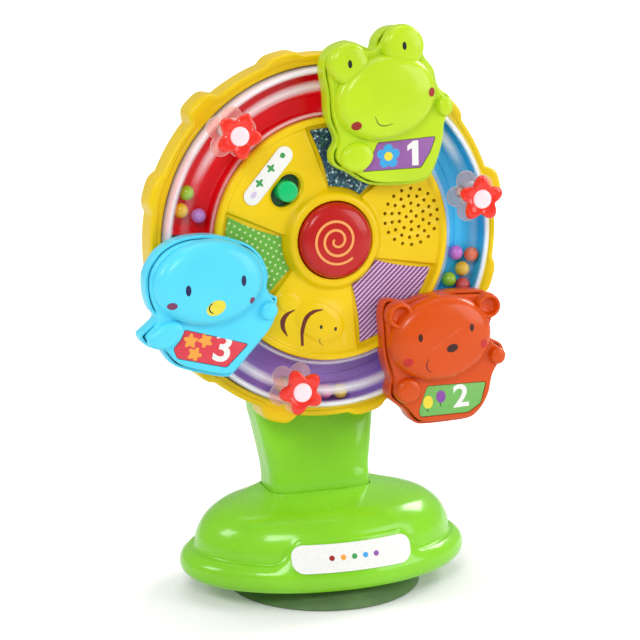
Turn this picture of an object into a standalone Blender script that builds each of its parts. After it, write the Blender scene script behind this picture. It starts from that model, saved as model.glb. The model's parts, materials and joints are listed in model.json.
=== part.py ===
"""Spinning ferris-wheel baby toy on a suction-cup stand.

A tilted yellow wheel turns on an axle in a green neck. It carries three animal
buttons, a round music button, a power slider, three bead tracks under a clear
cover, and the electronics. Lengths are in metres and +Z is up. The origin is
on the floor, at the middle of the toy's outline.
"""
import math

import bmesh
import bpy
from mathutils import Matrix, Vector

# Clearances and walls
SEAT_GAP = 0.0003
RUN_GAP = 0.0004
OVERRUN = 0.001
SHELL_WALL = 0.002
THIN_WALL = 0.0012
BOSS_WALL = 0.0016
FUSE_DEPTH = 0.0008

# Facet counts
WHEEL_SEGMENTS = 48
BASE_SEGMENTS = 32
NECK_SEGMENTS = 24
CUP_SEGMENTS = 24
DOME_SEGMENTS = 24
FLOWER_SEGMENTS = 20
ROUND_SEGMENTS = 16
SMALL_SEGMENTS = 8
HOLE_SEGMENTS = 6
SPEAKER_HOLE_SEGMENTS = 4
BEAD_ROWS = 5
OUTLINE_POINTS = 48
HEAD_SEGMENTS = 24
EAR_SEGMENTS = 14
PATCH_STEPS = 6
TRACK_SPANS = 12
CURVE_STEPS = 8
LABEL_COLUMNS = 13
SHARP_ANGLE = math.radians(35)

# Stand
STAND_AXIS_X = 0.0034
CUP_RADIUS = 0.047
CUP_RIM_WIDTH = 0.005
CUP_HEIGHT = 0.0092
CUP_DISH_DEPTH = 0.0066
CUP_STEM_RADIUS = 0.008
CUP_FLANGE = 0.0022
BASE_SIDE_SHOULDER = 0.0179
BASE_BACK_SHOULDER = 0.0044
BASE_HEIGHT = 0.0365
BASE_PLATE_THICKNESS = 0.0022
BASE_SCREW_INSET = 0.019
NECK_SCREW_X = 0.016
LABEL_LENGTH = 0.059
LABEL_HEIGHT = 0.0135
LABEL_CORNER = 0.0057
LABEL_THICKNESS = 0.0009
HUMP_MARGIN = 0.0065
HUMP_FADE = 0.009

# Wheel, with levels measured forward from the front lip of its rim
HUB_HEIGHT = 0.172
HUB_FORWARD = 0.0061
WHEEL_TILT = math.radians(4)
WHEEL_PHASE = 12.5
WHEEL_DEPTH = 0.016
RIM_WIDTH = 0.005
WHEEL_BACK_GAP = 0.002
BUMP_COUNT = 12
BUMP_HEIGHT = 0.0026
BIG_BUMP_HEIGHT = 0.005
BUMP_HALF_SHARE = 0.23
BIG_BUMP_HALF_SHARE = 0.21
BUMP_RAMP_SHARE = 0.07
LIP_THICKNESS = 0.0024

# Neck
NECK_HALF_WIDTH = 0.029
NECK_HALF_DEPTH = 0.0137
NECK_CROWN = 0.025
NECK_TOE = 0.0061
NECK_SQUARENESS = 5.0

# Axle
AXLE_RADIUS = 0.004
AXLE_REACH_BACK = 0.0345
AXLE_BOSS_RADIUS = 0.0072
AXLE_FLANGE_RADIUS = 0.0082
HUB_TUBE_HEIGHT = 0.0088

# Front panel
PANEL_RADIUS = 0.0575
PANEL_RIM_WIDTH = 0.003
PANEL_RIM_LEVEL = 0.009
RECESS_LEVEL = 0.0054
SECTOR_LEVEL = 0.0075
COLLAR_LEVEL = 0.0115
COLLAR_RADIUS = 0.024
RECESS_INNER_ANGLE = 22.0
RECESS_OUTER_ANGLE = 31.0
STEP_ANGLE = 1.6
PATCH_THICKNESS = 0.0006
PATCH_MARGIN = 0.0007

# Speaker, which fills the room between the collar and the panel's skirt
SPEAKER_DIRECTION = 10.95
SPEAKER_INNER_ROOM = 0.002
SPEAKER_OUTER_ROOM = 0.0005
SPEAKER_DEPTH = 0.0140
SPEAKER_HOLE_RADIUS = 0.00065

# Power slider
SLOT_DIRECTION = 132.4
SLOT_OFFSET = 0.0089
SLOT_ANGLE = 48.6
SLOT_LENGTH = 0.0168
SLOT_WIDTH = 0.0112
KNOB_RADIUS = 0.0049
KNOB_TOP_LEVEL = 0.0106
KNOB_SKIRT_THICKNESS = 0.0012
SWITCH_TRAVEL = 0.003
SWITCH_LABEL_OFFSET = 0.0118
SWITCH_LABEL_LENGTH = 0.0325
SWITCH_LABEL_WIDTH = 0.0085
SWITCH_LABEL_THICKNESS = 0.0006

# Bead tracks and clear cover
COVER_LEVEL = 0.0063
COVER_WALL = 0.0013
COVER_SKIRT = 0.0008
COVER_EDGE = 0.0024
TRACK_WIDTH = 0.0219
TRACK_WALL = 0.0009
TRACK_FLOOR_LEVEL = -0.005
TRACK_FLOOR_THICKNESS = 0.0014
TRACK_HALF_ANGLE = 42.0
TRACK_END_ANGLE = 1.2
BEAD_RADIUS = 0.0036
BEAD_LEVEL = -0.0009

# Flower lights
FLOWER_OFFSET = 0.0141
FLOWER_RADIUS = 0.0106
FLOWER_HEIGHT = 0.0163
FLOWER_BASE_TURN = 24.0
FLOWER_STAR_TURN = 3.0
LED_RADIUS = 0.0025
LED_BOARD_RADIUS = 0.005
LED_BOARD_THICKNESS = 0.0011

# Animal buttons
TRAY_HEIGHT = 0.0062
TRAY_FLOOR = 0.0016
TRAY_PEG_LENGTH = 0.009
BUTTON_SKIRT_LEVEL = 0.0132
BUTTON_CEILING_LEVEL = 0.0157
BUTTON_PLATE_LEVEL = 0.0192
BUTTON_WALL = 0.0017
BUTTON_EDGE = 0.0009
BUTTON_TRAVEL = 0.002
HEAD_LEVEL = 0.0272
HEAD_WALL = 0.0028
EAR_LEVEL = 0.0240
HAND_LEVEL = 0.0226
NUMBER_LABEL_THICKNESS = 0.0007
NUMBER_LABEL_RECESS = 0.0012
TRAY_PEG_OFFSET = 0.0111
TRAY_PEG_ANGLE = 8.0

# Music button
DOME_RADIUS = 0.0180
DOME_LEVEL = 0.0163
DOME_SKIRT_LEVEL = 0.0098
DOME_FLANGE = 0.0016
DOME_FLANGE_THICKNESS = 0.0011
DOME_STEM_RADIUS = 0.002

# Electronics
BATTERY_RADIUS = 0.00525
BATTERY_LENGTH = 0.0445
BATTERY_NUB_RADIUS = 0.0019
BATTERY_NUB = 0.001
BATTERY_V = -0.031
CONTACT_ROOM = 0.0016
BOX_WALL = 0.0012
BOARD_LEVEL = -0.004
BOARD_THICKNESS = 0.0016
BOARD_LEFT = -0.034
BOARD_RIGHT = 0.022
BOARD_BOTTOM = -0.0115
BOARD_TOP = 0.036
BOARD_POST_RADIUS = 0.0025
BOARD_POST_INSET = 0.004
MUSIC_SWITCH_RADIUS = 0.0035
MUSIC_SWITCH_HEIGHT = 0.0015
CHIP_U = 0.010
CHIP_V = 0.022
CHIP_RADIUS = 0.0045
TILT_SWITCH_V = 0.020
TILT_SWITCH_RADIUS = 0.0022
TILT_SWITCH_HEIGHT = 0.005

# Screws
SCREW_RADIUS = 0.0013
SCREW_HEAD_RADIUS = 0.0026
SCREW_HEAD_HEIGHT = 0.0015
SCREW_LENGTH = 0.010
WELL_DEPTH = 0.0055
POST_ROOM = 0.001
SHELL_SCREW_ANGLES = (60.0, 180.0, 320.0)

# Places that follow from the sizes above
WHEEL_BACK = -WHEEL_DEPTH
WHEEL_FLOOR = WHEEL_BACK + SHELL_WALL
BASE_FLOOR_Z = CUP_HEIGHT + SEAT_GAP
BASE_PLATE_TOP = BASE_FLOOR_Z + BASE_PLATE_THICKNESS
POST_TOP = BASE_FLOOR_Z + WELL_DEPTH + BOSS_WALL
NECK_FOOT_Z = POST_TOP + SEAT_GAP
NECK_TOP_Z = HUB_HEIGHT + NECK_CROWN
BASE_TOP_Z = BASE_FLOOR_Z + BASE_HEIGHT
HUMP_HALF_WIDTH = LABEL_LENGTH / 2 + HUMP_MARGIN
POST_RADIUS = SCREW_HEAD_RADIUS + SEAT_GAP + BOSS_WALL
BORE_RADIUS = SCREW_RADIUS + SEAT_GAP
HEAD_BORE_RADIUS = SCREW_HEAD_RADIUS + SEAT_GAP
PANEL_UNDER_LEVEL = RECESS_LEVEL - SHELL_WALL
SHELL_SCREW_DISTANCE = PANEL_RADIUS - SHELL_WALL - POST_RADIUS - POST_ROOM
SPEAKER_RADIUS = (PANEL_RADIUS - SHELL_WALL - SPEAKER_OUTER_ROOM - COLLAR_RADIUS - SPEAKER_INNER_ROOM) / 2
SPEAKER_DISTANCE = COLLAR_RADIUS + SPEAKER_INNER_ROOM + SPEAKER_RADIUS
SLOT_DISTANCE = COLLAR_RADIUS + SLOT_OFFSET
TRACK_INNER = PANEL_RADIUS + RUN_GAP
TRACK_OUTER = TRACK_INNER + TRACK_WIDTH
TRAY_PEG_DISTANCE = TRACK_INNER + TRAY_PEG_OFFSET
FLOWER_DISTANCE = TRACK_INNER + FLOWER_OFFSET
COVER_RADIUS = TRACK_OUTER + SEAT_GAP + COVER_SKIRT
LIP_RADIUS = COVER_RADIUS + RUN_GAP
WHEEL_RADIUS = LIP_RADIUS + RIM_WIDTH
COVER_UNDER_LEVEL = COVER_LEVEL - COVER_WALL
TRACK_TOP_LEVEL = COVER_UNDER_LEVEL - SEAT_GAP
CHANNEL_INNER = TRACK_INNER + TRACK_WALL
CHANNEL_OUTER = TRACK_OUTER - TRACK_WALL
BOARD_TOP_LEVEL = BOARD_LEVEL + BOARD_THICKNESS
BOX_HALF_LENGTH = BATTERY_LENGTH / 2 + CONTACT_ROOM + SEAT_GAP + BOX_WALL
BATTERY_PITCH = 2 * BATTERY_RADIUS + 2 * SEAT_GAP
BOX_HALF_WIDTH = BATTERY_PITCH / 2 + BATTERY_RADIUS + SEAT_GAP + BOX_WALL
BATTERY_LEVEL = WHEEL_FLOOR + BATTERY_RADIUS + SEAT_GAP
BOX_TOP_LEVEL = BATTERY_LEVEL + BATTERY_RADIUS + SEAT_GAP + BOX_WALL
HUB_TUBE_TOP = WHEEL_BACK + HUB_TUBE_HEIGHT
AXLE_FRONT_LEVEL = HUB_TUBE_TOP + SEAT_GAP
TRAY_LOW_LEVEL = COVER_LEVEL + SEAT_GAP
TRAY_LEVEL = PANEL_RIM_LEVEL + SEAT_GAP
TRAY_TOP_LEVEL = TRAY_LEVEL + TRAY_HEIGHT
BUTTON_INSET = THIN_WALL + RUN_GAP

# Outlines, as shares of each animal's half width and half height
FROG_OUTLINE_SHARES = (
    (-1.0, 0.50), (-0.93, 0.70), (-0.78, 0.80), (-0.56, 0.84), (-0.36, 0.77), (-0.22, 0.725),
    (-0.16, 0.86), (-0.02, 0.97), (0.18, 1.0), (0.40, 0.96), (0.56, 0.83), (0.57, 0.62),
    (0.72, 0.44), (0.80, 0.20), (0.97, 0.08), (1.0, -0.08), (0.89, -0.22), (0.85, -0.47),
    (0.76, -0.72), (0.62, -0.94), (0.40, -1.0), (0.0, -1.0), (-0.35, -0.96), (-0.62, -0.82),
    (-0.86, -0.70), (-0.90, -0.54), (-0.82, -0.38), (-0.93, -0.12), (-0.95, 0.20))
BEAR_OUTLINE_SHARES = (
    (-0.98, 0.74), (-0.93, 0.93), (-0.81, 0.96), (-0.53, 0.91), (-0.31, 0.965), (0.20, 1.0),
    (0.60, 0.98), (0.77, 0.93), (0.885, 0.84), (0.905, 0.72), (0.86, 0.59), (0.77, 0.50),
    (0.79, 0.35), (0.77, 0.22), (0.88, 0.18), (0.975, 0.10), (1.0, -0.02), (0.945, -0.16),
    (0.84, -0.25), (0.79, -0.41), (0.75, -0.60), (0.66, -0.78), (0.54, -0.91), (0.40, -0.98),
    (0.06, -1.0), (-0.31, -1.0), (-0.45, -0.975), (-0.55, -0.885), (-0.63, -0.76),
    (-0.83, -0.59), (-0.875, -0.51), (-0.87, -0.375), (-0.84, -0.265), (-0.90, -0.08),
    (-0.945, 0.12), (-0.97, 0.50))
BIRD_OUTLINE_SHARES = (
    (-0.90, 0.42), (-0.87, 0.57), (-0.80, 0.69), (-0.68, 0.83), (-0.51, 0.93), (-0.30, 0.99),
    (-0.04, 1.0), (0.18, 0.975), (0.41, 0.905), (0.61, 0.82), (0.755, 0.685), (0.84, 0.53),
    (0.88, 0.36), (0.857, 0.215), (0.90, 0.11), (1.0, 0.05), (0.99, -0.07), (0.96, -0.245),
    (0.895, -0.37), (0.78, -0.50), (0.56, -0.73), (0.32, -0.97), (0.20, -1.0), (-0.03, -0.95),
    (-0.33, -0.86), (-0.53, -0.77), (-0.64, -0.64), (-0.71, -0.52), (-0.85, -0.50),
    (-0.95, -0.43), (-1.0, -0.335), (-0.975, -0.28), (-0.88, -0.21), (-0.76, -0.09),
    (-0.83, 0.02), (-0.885, 0.19))

# Each animal: where it sits, in shares of the wheel's radius, its half sizes and the shares of
# its features.
# A head or hand is (middle, middle, half width, half height) and an angle in degrees.
CRITTERS = {
    "frog": {
        "centre_shares": (0.3036, 0.7132), "half": (0.0317, 0.0370), "direction": 66.5,
        "outline_shares": FROG_OUTLINE_SHARES,
        "head_shares": (-0.07, 0.125, 0.765, 0.515), "head_turn": 15.0,
        "ear_shares": ((-0.66, 0.57, 0.30), (0.19, 0.76, 0.31)),
        "hand_shares": ((-0.55, -0.60, 0.26, 0.19, 20.0), (0.83, -0.03, 0.13, 0.13, 0.0)),
        "label_shares": ((-0.17, -0.47), (0.74, -0.45), (0.66, -0.65), (0.50, -0.83),
                         (-0.40, -0.83), (-0.28, -0.70)),
    },
    "bear": {
        "centre_shares": (0.5956, -0.6924), "half": (0.0316, 0.0314), "direction": -50.0,
        "outline_shares": BEAR_OUTLINE_SHARES,
        "head_shares": (-0.085, 0.34, 0.79, 0.60), "head_turn": 6.0,
        "ear_shares": ((-0.76, 0.76, 0.19), (0.71, 0.77, 0.17)),
        "hand_shares": ((-0.62, -0.43, 0.21, 0.20, 20.0), (0.83, -0.02, 0.13, 0.14, 0.0)),
        "label_shares": ((-0.30, -0.40), (0.65, -0.42), (0.56, -0.74), (0.36, -0.86),
                         (-0.42, -0.86), (-0.44, -0.77)),
    },
    "bird": {
        "centre_shares": (-0.7428, -0.2949), "half": (0.0332, 0.0334), "direction": 202.0,
        "outline_shares": BIRD_OUTLINE_SHARES,
        "head_shares": (-0.035, 0.37, 0.79, 0.595), "head_turn": 4.0,
        "ear_shares": (),
        "hand_shares": ((-0.66, -0.32, 0.28, 0.17, 25.0), (0.83, -0.10, 0.13, 0.14, -30.0)),
        "label_shares": ((-0.33, -0.31), (0.55, -0.57), (0.22, -0.86), (-0.50, -0.67),
                         (-0.54, -0.55), (-0.39, -0.44)),
    },
}

# Beads: colour, direction on the wheel in degrees, and share of the free channel width
BEAD_PLACE_SHARES = {
    "red": (("green", 159.3, 0.80), ("yellow", 166.1, 0.84), ("purple", 166.9, 0.13)),
    "blue": (("purple", -11.1, 0.34), ("orange", -11.0, 0.98), ("yellow", -16.9, 0.74),
             ("green", -22.5, 0.35), ("red", -22.7, 0.96)),
    "purple": (("yellow", 273.9, 0.98), ("pink", 268.1, 0.92), ("green", 251.0, 0.86)),
}
TRACKS = {"red": 120.0, "purple": 240.0, "blue": 0.0}

# The base's outer profile, foot to top: share of the half sizes and of the height,
# plain on the sides and back, and over the hump that carries the front label
BASE_PLAIN_SHARES = (
    (0.955, 0.0), (0.99, 0.07), (1.0, 0.165), (0.985, 0.26), (0.94, 0.335), (0.902, 0.36),
    (0.885, 0.53), (0.83, 0.72), (0.73, 0.87), (0.61, 0.945))
BASE_HUMP_SHARES = (
    (0.955, 0.0), (0.99, 0.07), (1.0, 0.165), (0.99, 0.245), (0.932, 0.44), (0.875, 0.64),
    (0.850, 0.68), (0.81, 0.76), (0.73, 0.87), (0.61, 0.945))

# The neck's sections: shares of its height, half width, half depth and forward toe
NECK_SECTION_SHARES = (
    (0.0, 0.875, 0.985, 0.67), (0.1625, 0.875, 0.985, 1.0), (0.215, 0.86, 1.0, 0.82),
    (0.271, 0.895, 1.0, 0.62), (0.327, 0.95, 1.0, 0.33), (0.382, 1.0, 1.0, 0.05),
    (0.516, 1.0, 0.93, 0.0), (0.683, 0.97, 0.82, 0.0), (0.822, 0.90, 0.73, 0.0),
    (0.905, 0.77, 0.69, 0.0), (0.956, 0.56, 0.60, -0.15), (0.985, 0.33, 0.46, -0.35),
    (1.0, 0.12, 0.25, -0.6))
CAVITY_SECTIONS = 10

# The suction cup's hollow, middle to rim, and its back, edge to deck
CUP_DISH_SHARES = ((0.06, 1.0), (0.25, 0.98), (0.55, 0.86), (0.82, 0.50))
CUP_BACK_SHARES = ((1.0, 0.10), (0.93, 0.42), (0.80, 0.80), (0.62, 1.0))

# Rounded forms, as shares of a radius or width and of a height
DOME_SHARES = ((1.0, 0.0), (0.985, 0.36), (0.93, 0.64), (0.80, 0.85), (0.52, 0.97), (0.20, 1.0))
LOW_DOME_SHARES = ((1.0, 0.0), (0.95, 0.58), (0.78, 0.88), (0.40, 1.0))
EDGE_SHARES = ((0.0, 1.0), (0.3, 0.3), (1.0, 0.0))
FLOWER_BASE_SHARES = ((0.95, 0.0), (1.0, 0.06), (1.0, 0.30), (0.86, 0.38))
FLOWER_STEM_SHARE = 0.48
FLOWER_STAR_SHARES = ((0.62, 0.62), (0.90, 0.72), (1.0, 0.82), (0.93, 0.93), (0.62, 0.94), (0.40, 1.0))
PETAL_COUNT = 5
PETAL_DISTANCE_SHARE = 0.58
PETAL_RADIUS_SHARE = 0.42
DOME_HOLLOW_SHARES = (0.8, 0.55)
SPEAKER_PROFILE_SHARES = (
    (0.6, -1.0), (0.6, -0.6), (0.9, -0.2), (1.0, -0.15), (1.0, 0.0), (0.86, 0.0), (0.35, -0.2))
SPEAKER_RING_SHARES = ((0.172, 4), (0.434, 10), (0.683, 15), (0.924, 18))
BEAD_POLE_SHARE = 0.08

# The bee on the panel: how far out and across its sector, half length, half width and turn
BEE_BODY_SHARES = (0.496, -0.15, 0.46, 0.32, -12.0)
BEE_WING_SHARES = (0.31, 0.42, 0.22, 0.19, 0.0)
BEE_RISE = 0.0019

# Colours, linear RGB, with a roughness
LOOKS = {
    "yellow_plastic": ((0.91, 0.63, 0.006), 0.30),
    "green_plastic": ((0.22, 0.62, 0.022), 0.28),
    "cup_rubber": ((0.045, 0.10, 0.03), 0.55),
    "white_print": ((0.85, 0.85, 0.85), 0.45),
    "frog_plastic": ((0.48, 0.75, 0.02), 0.32),
    "bear_plastic": ((0.75, 0.09, 0.008), 0.32),
    "bird_plastic": ((0.11, 0.68, 0.92), 0.32),
    "red_plastic": ((0.62, 0.015, 0.02), 0.25),
    "red_track": ((0.68, 0.02, 0.035), 0.35),
    "purple_track": ((0.22, 0.115, 0.42), 0.35),
    "blue_track": ((0.045, 0.33, 0.72), 0.35),
    "clear_plastic": ((0.85, 0.90, 0.92), 0.08),
    "flower_lens": ((0.90, 0.06, 0.03), 0.10),
    "frog_label": ((0.30, 0.10, 0.38), 0.45),
    "bear_label": ((0.17, 0.50, 0.09), 0.45),
    "bird_label": ((0.75, 0.04, 0.05), 0.45),
    "stripe_cloth": ((0.50, 0.27, 0.55), 0.85),
    "dot_cloth": ((0.16, 0.52, 0.045), 0.85),
    "glitter_cloth": ((0.026, 0.09, 0.14), 0.5),
    "knob_green": ((0.0, 0.51, 0.155), 0.28),
    "green_bead": ((0.09, 0.48, 0.05), 0.25),
    "yellow_bead": ((0.91, 0.60, 0.01), 0.25),
    "purple_bead": ((0.20, 0.07, 0.40), 0.25),
    "orange_bead": ((0.90, 0.25, 0.01), 0.25),
    "red_bead": ((0.65, 0.03, 0.02), 0.25),
    "pink_bead": ((0.65, 0.16, 0.45), 0.25),
    "black_plastic": ((0.02, 0.02, 0.022), 0.5),
    "white_plastic": ((0.78, 0.78, 0.76), 0.4),
    "board_green": ((0.02, 0.17, 0.06), 0.5),
    "steel": ((0.55, 0.55, 0.56), 0.3),
    "battery_wrap": ((0.05, 0.06, 0.08), 0.35),
}
METAL_LOOKS = ("steel",)
METALLIC = 1.0


def clear_scene():
    for item in list(bpy.data.objects):
        bpy.data.objects.remove(item, do_unlink=True)


def look(name):
    """The named material, made once."""
    material = bpy.data.materials.get(name)
    if material is None:
        colour, roughness = LOOKS[name]
        material = bpy.data.materials.new(name)
        material.use_nodes = True
        shader = material.node_tree.nodes["Principled BSDF"]
        shader.inputs["Base Color"].default_value = (*colour, 1.0)
        shader.inputs["Roughness"].default_value = roughness
        if name in METAL_LOOKS:
            shader.inputs["Metallic"].default_value = METALLIC
    return material


# Frames: the wheel's own frame has X to the right, Y up the tilted face, Z forward
def wheel_matrix():
    turn = Matrix.Rotation(math.radians(90) - WHEEL_TILT, 4, "X")
    return Matrix.Translation((STAND_AXIS_X, -HUB_FORWARD, HUB_HEIGHT)) @ turn


def make_empty(name, matrix, parent=None):
    empty = bpy.data.objects.new(name, None)
    bpy.context.collection.objects.link(empty)
    empty.parent = parent
    empty.matrix_basis = matrix
    return empty


# Mesh building
def make_object(name, vertices, faces, material=None):
    mesh = bpy.data.meshes.new(name)
    mesh.from_pydata(vertices, [], faces)
    shape = bmesh.new()
    shape.from_mesh(mesh)
    bmesh.ops.recalc_face_normals(shape, faces=shape.faces)
    shape.to_mesh(mesh)
    shape.free()
    item = bpy.data.objects.new(name, mesh)
    bpy.context.collection.objects.link(item)
    if material:
        mesh.materials.append(look(material))
    return item


def loft_faces(ring_count, ring_size, looped):
    faces = []
    for ring in range(ring_count if looped else ring_count - 1):
        near = ring * ring_size
        far = (ring + 1) % ring_count * ring_size
        for point in range(ring_size):
            step = (point + 1) % ring_size
            faces.append((near + point, near + step, far + step, far + point))
    if not looped:
        last = (ring_count - 1) * ring_size
        faces.append(tuple(reversed(range(ring_size))))
        faces.append(tuple(range(last, last + ring_size)))
    return faces


def loft(name, rings, material=None, looped=False):
    """A closed solid through rings of equally many points, capped or looped back on itself."""
    vertices = [point for ring in rings for point in ring]
    return make_object(name, vertices, loft_faces(len(rings), len(rings[0]), looped), material)


def circle(radius, level, segments, middle=(0.0, 0.0)):
    angles = [math.tau * k / segments for k in range(segments)]
    return [(middle[0] + radius * math.cos(a), middle[1] + radius * math.sin(a), level) for a in angles]


def turned(name, profile, material=None, segments=ROUND_SEGMENTS, middle=(0.0, 0.0), hollow=False):
    """A turned solid. A hollow one has a closed profile that stays off the axis."""
    rings = [circle(radius, level, segments, middle) for radius, level in profile]
    return loft(name, rings, material, looped=hollow)


def cylinder(name, radius, low, high, middle=(0.0, 0.0), segments=SMALL_SEGMENTS, material=None):
    return turned(name, ((radius, low), (radius, high)), material, segments, middle)


def stacked(name, outlines, material=None):
    """A solid through flat outlines, each given with its level."""
    return loft(name, [[(x, y, level) for x, y in points] for points, level in outlines], material)


def box_outline(left, right, bottom, top):
    return [(left, bottom), (right, bottom), (right, top), (left, top)]


def pill_outline(length, width, middle, turn, arc_points=8):
    """A slot shape: two half circles joined by straight sides."""
    radius = width / 2
    reach = length / 2 - radius
    along = Vector((math.cos(math.radians(turn)), math.sin(math.radians(turn))))
    points = []
    for side in (1, -1):
        for k in range(arc_points + 1):
            angle = math.radians(turn) + math.pi * (k / arc_points - side / 2)
            end = Vector(middle) + along * reach * side
            points.append((end.x + radius * math.cos(angle), end.y + radius * math.sin(angle)))
    return points


def inset(points, distance):
    """The outline moved inward along its corner normals. Points run either way round."""
    area = sum(a[0] * b[1] - b[0] * a[1] for a, b in zip(points, points[1:] + points[:1]))
    sign = 1 if area > 0 else -1
    moved = []
    for before, here, after in zip(points[-1:] + points[:-1], points, points[1:] + points[:1]):
        along = (Vector(here) - Vector(before)).normalized() + (Vector(after) - Vector(here)).normalized()
        along.normalize()
        moved.append((here[0] - along.y * distance * sign, here[1] + along.x * distance * sign))
    return moved


def smooth_outline(control, count):
    """A closed curve through the control points, spaced evenly along its length."""
    dense = []
    size = len(control)
    for k in range(size):
        p0, p1, p2, p3 = (Vector(control[(k + o) % size]) for o in (-1, 0, 1, 2))
        for step in range(CURVE_STEPS):
            t = step / CURVE_STEPS
            dense.append(0.5 * (2 * p1 + (p2 - p0) * t + (2 * p0 - 5 * p1 + 4 * p2 - p3) * t * t
                                + (3 * p1 - p0 - 3 * p2 + p3) * t ** 3))
    lengths = [0.0]
    for a, b in zip(dense, dense[1:] + dense[:1]):
        lengths.append(lengths[-1] + (b - a).length)
    points = []
    index = 0
    for k in range(count):
        target = lengths[-1] * k / count
        while lengths[index + 1] < target:
            index += 1
        share = (target - lengths[index]) / (lengths[index + 1] - lengths[index])
        spot = dense[index].lerp(dense[(index + 1) % len(dense)], share)
        points.append((spot.x, spot.y))
    return points


def ellipse_outline(middle, half_width, half_height, turn, segments):
    """An ellipse turned by an angle in degrees."""
    cos_turn, sin_turn = math.cos(math.radians(turn)), math.sin(math.radians(turn))
    points = []
    for k in range(segments):
        x = half_width * math.cos(math.tau * k / segments)
        y = half_height * math.sin(math.tau * k / segments)
        points.append((middle[0] + x * cos_turn - y * sin_turn, middle[1] + x * sin_turn + y * cos_turn))
    return points


def dome(name, middle, half_width, half_height, turn, low, high, segments=EAR_SEGMENTS,
         shares=LOW_DOME_SHARES):
    outlines = []
    for width_share, height_share in shares:
        outline = ellipse_outline(middle, half_width * width_share, half_height * width_share, turn, segments)
        outlines.append((outline, low + (high - low) * height_share))
    return stacked(name, outlines)


# Combining solids
def combine(target, tool, operation):
    """Cuts or joins with the EXACT solver, keeps the result and removes the tool."""
    modifier = target.modifiers.new(operation.lower(), "BOOLEAN")
    modifier.operation = operation
    modifier.solver = "EXACT"
    modifier.object = tool
    bpy.context.view_layer.update()
    graph = bpy.context.evaluated_depsgraph_get()
    result = bpy.data.meshes.new_from_object(target.evaluated_get(graph))
    target.modifiers.clear()
    target.data = result
    bpy.data.objects.remove(tool, do_unlink=True)


def cut(target, tool):
    combine(target, tool, "DIFFERENCE")


def join(target, tool):
    combine(target, tool, "UNION")


def merged(name, tools):
    """One tool that holds several separate solids."""
    shape = bmesh.new()
    for tool in tools:
        shape.from_mesh(tool.data)
        bpy.data.objects.remove(tool, do_unlink=True)
    mesh = bpy.data.meshes.new(name)
    shape.to_mesh(mesh)
    shape.free()
    item = bpy.data.objects.new(name, mesh)
    bpy.context.collection.objects.link(item)
    return item


def place(item, parent):
    """Rounds the shading and rides the piece on its frame."""
    item.data.shade_smooth()
    item.data.set_sharp_from_angle(angle=SHARP_ANGLE)
    item.parent = parent
    return item


def place_on_joint(item, parent, joint_place):
    """The piece hangs from an empty that stands on its joint's line."""
    pivot = make_empty(item.name + "_pivot", Matrix.Translation((*joint_place, 0.0)), parent)
    item.data.transform(Matrix.Translation((-joint_place[0], -joint_place[1], 0.0)))
    return place(item, pivot)


def polar(distance, degrees):
    return (distance * math.cos(math.radians(degrees)), distance * math.sin(math.radians(degrees)))


def make_screw(name, frame, middle, head_start, direction=1, head_radius=SCREW_HEAD_RADIUS):
    """A screw whose head begins at head_start and whose shank runs along direction."""
    neck = head_start + direction * SCREW_HEAD_HEIGHT
    tip = neck + direction * SCREW_LENGTH
    profile = ((head_radius, head_start), (head_radius, neck), (SCREW_RADIUS, neck), (SCREW_RADIUS, tip))
    place(turned(name, profile, "steel", SMALL_SEGMENTS, middle), frame)


# Stand
def superellipse(half_width, half_depth, middle_y, level, power, count):
    points = []
    for k in range(count):
        angle = math.tau * k / count
        x = math.copysign(abs(math.cos(angle)) ** (2 / power), math.cos(angle))
        y = math.copysign(abs(math.sin(angle)) ** (2 / power), math.sin(angle))
        points.append((half_width * x, middle_y + half_depth * y, level))
    return points


def wheel_back_y(level):
    """Where the back plane of the wheel is at a height."""
    return -HUB_FORWARD + WHEEL_DEPTH * math.cos(WHEEL_TILT) + (level - HUB_HEIGHT) * math.tan(WHEEL_TILT)


def neck_section(shares):
    height_share, width_share, depth_share, toe_share = shares
    level = NECK_FOOT_Z + (NECK_TOP_Z - NECK_FOOT_Z) * height_share
    half_depth = NECK_HALF_DEPTH * depth_share
    front = wheel_back_y(level) + WHEEL_BACK_GAP - NECK_TOE * toe_share
    return NECK_HALF_WIDTH * width_share, half_depth, front + half_depth, level


# The base follows from the neck that stands in it
NECK_AT_BASE = neck_section(NECK_SECTION_SHARES[1])
BASE_MOUTH_SHARE = BASE_PLAIN_SHARES[-1][0]
BASE_HALF_WIDTH = (NECK_AT_BASE[0] + BASE_SIDE_SHOULDER) / BASE_MOUTH_SHARE
BASE_HALF_DEPTH = (NECK_AT_BASE[2] + NECK_AT_BASE[1] + BASE_BACK_SHOULDER) / BASE_MOUTH_SHARE
BASE_SCREW_X = BASE_HALF_WIDTH - BASE_SCREW_INSET


def hump_share(x, y):
    """1 across the front label, fading to 0 at the sides, and 0 at the back."""
    if y >= 0:
        return 0.0
    reach = min(max((HUMP_HALF_WIDTH - abs(x)) / HUMP_FADE, 0.0), 1.0)
    return reach * reach * (3 - 2 * reach)


def base_point(angle, plain, hump):
    """A point of the base's outside, between its plain and its hump profile."""
    unit_x, unit_y = math.cos(angle), math.sin(angle)
    share = hump_share(BASE_HALF_WIDTH * unit_x, unit_y)
    reach = plain[0] + (hump[0] - plain[0]) * share
    rise = plain[1] + (hump[1] - plain[1]) * share
    return (BASE_HALF_WIDTH * reach * unit_x, BASE_HALF_DEPTH * reach * unit_y,
            BASE_FLOOR_Z + BASE_HEIGHT * rise)


def base_screw_places():
    return {"left": (-BASE_SCREW_X, 0.0), "right": (BASE_SCREW_X, 0.0)}


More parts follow.
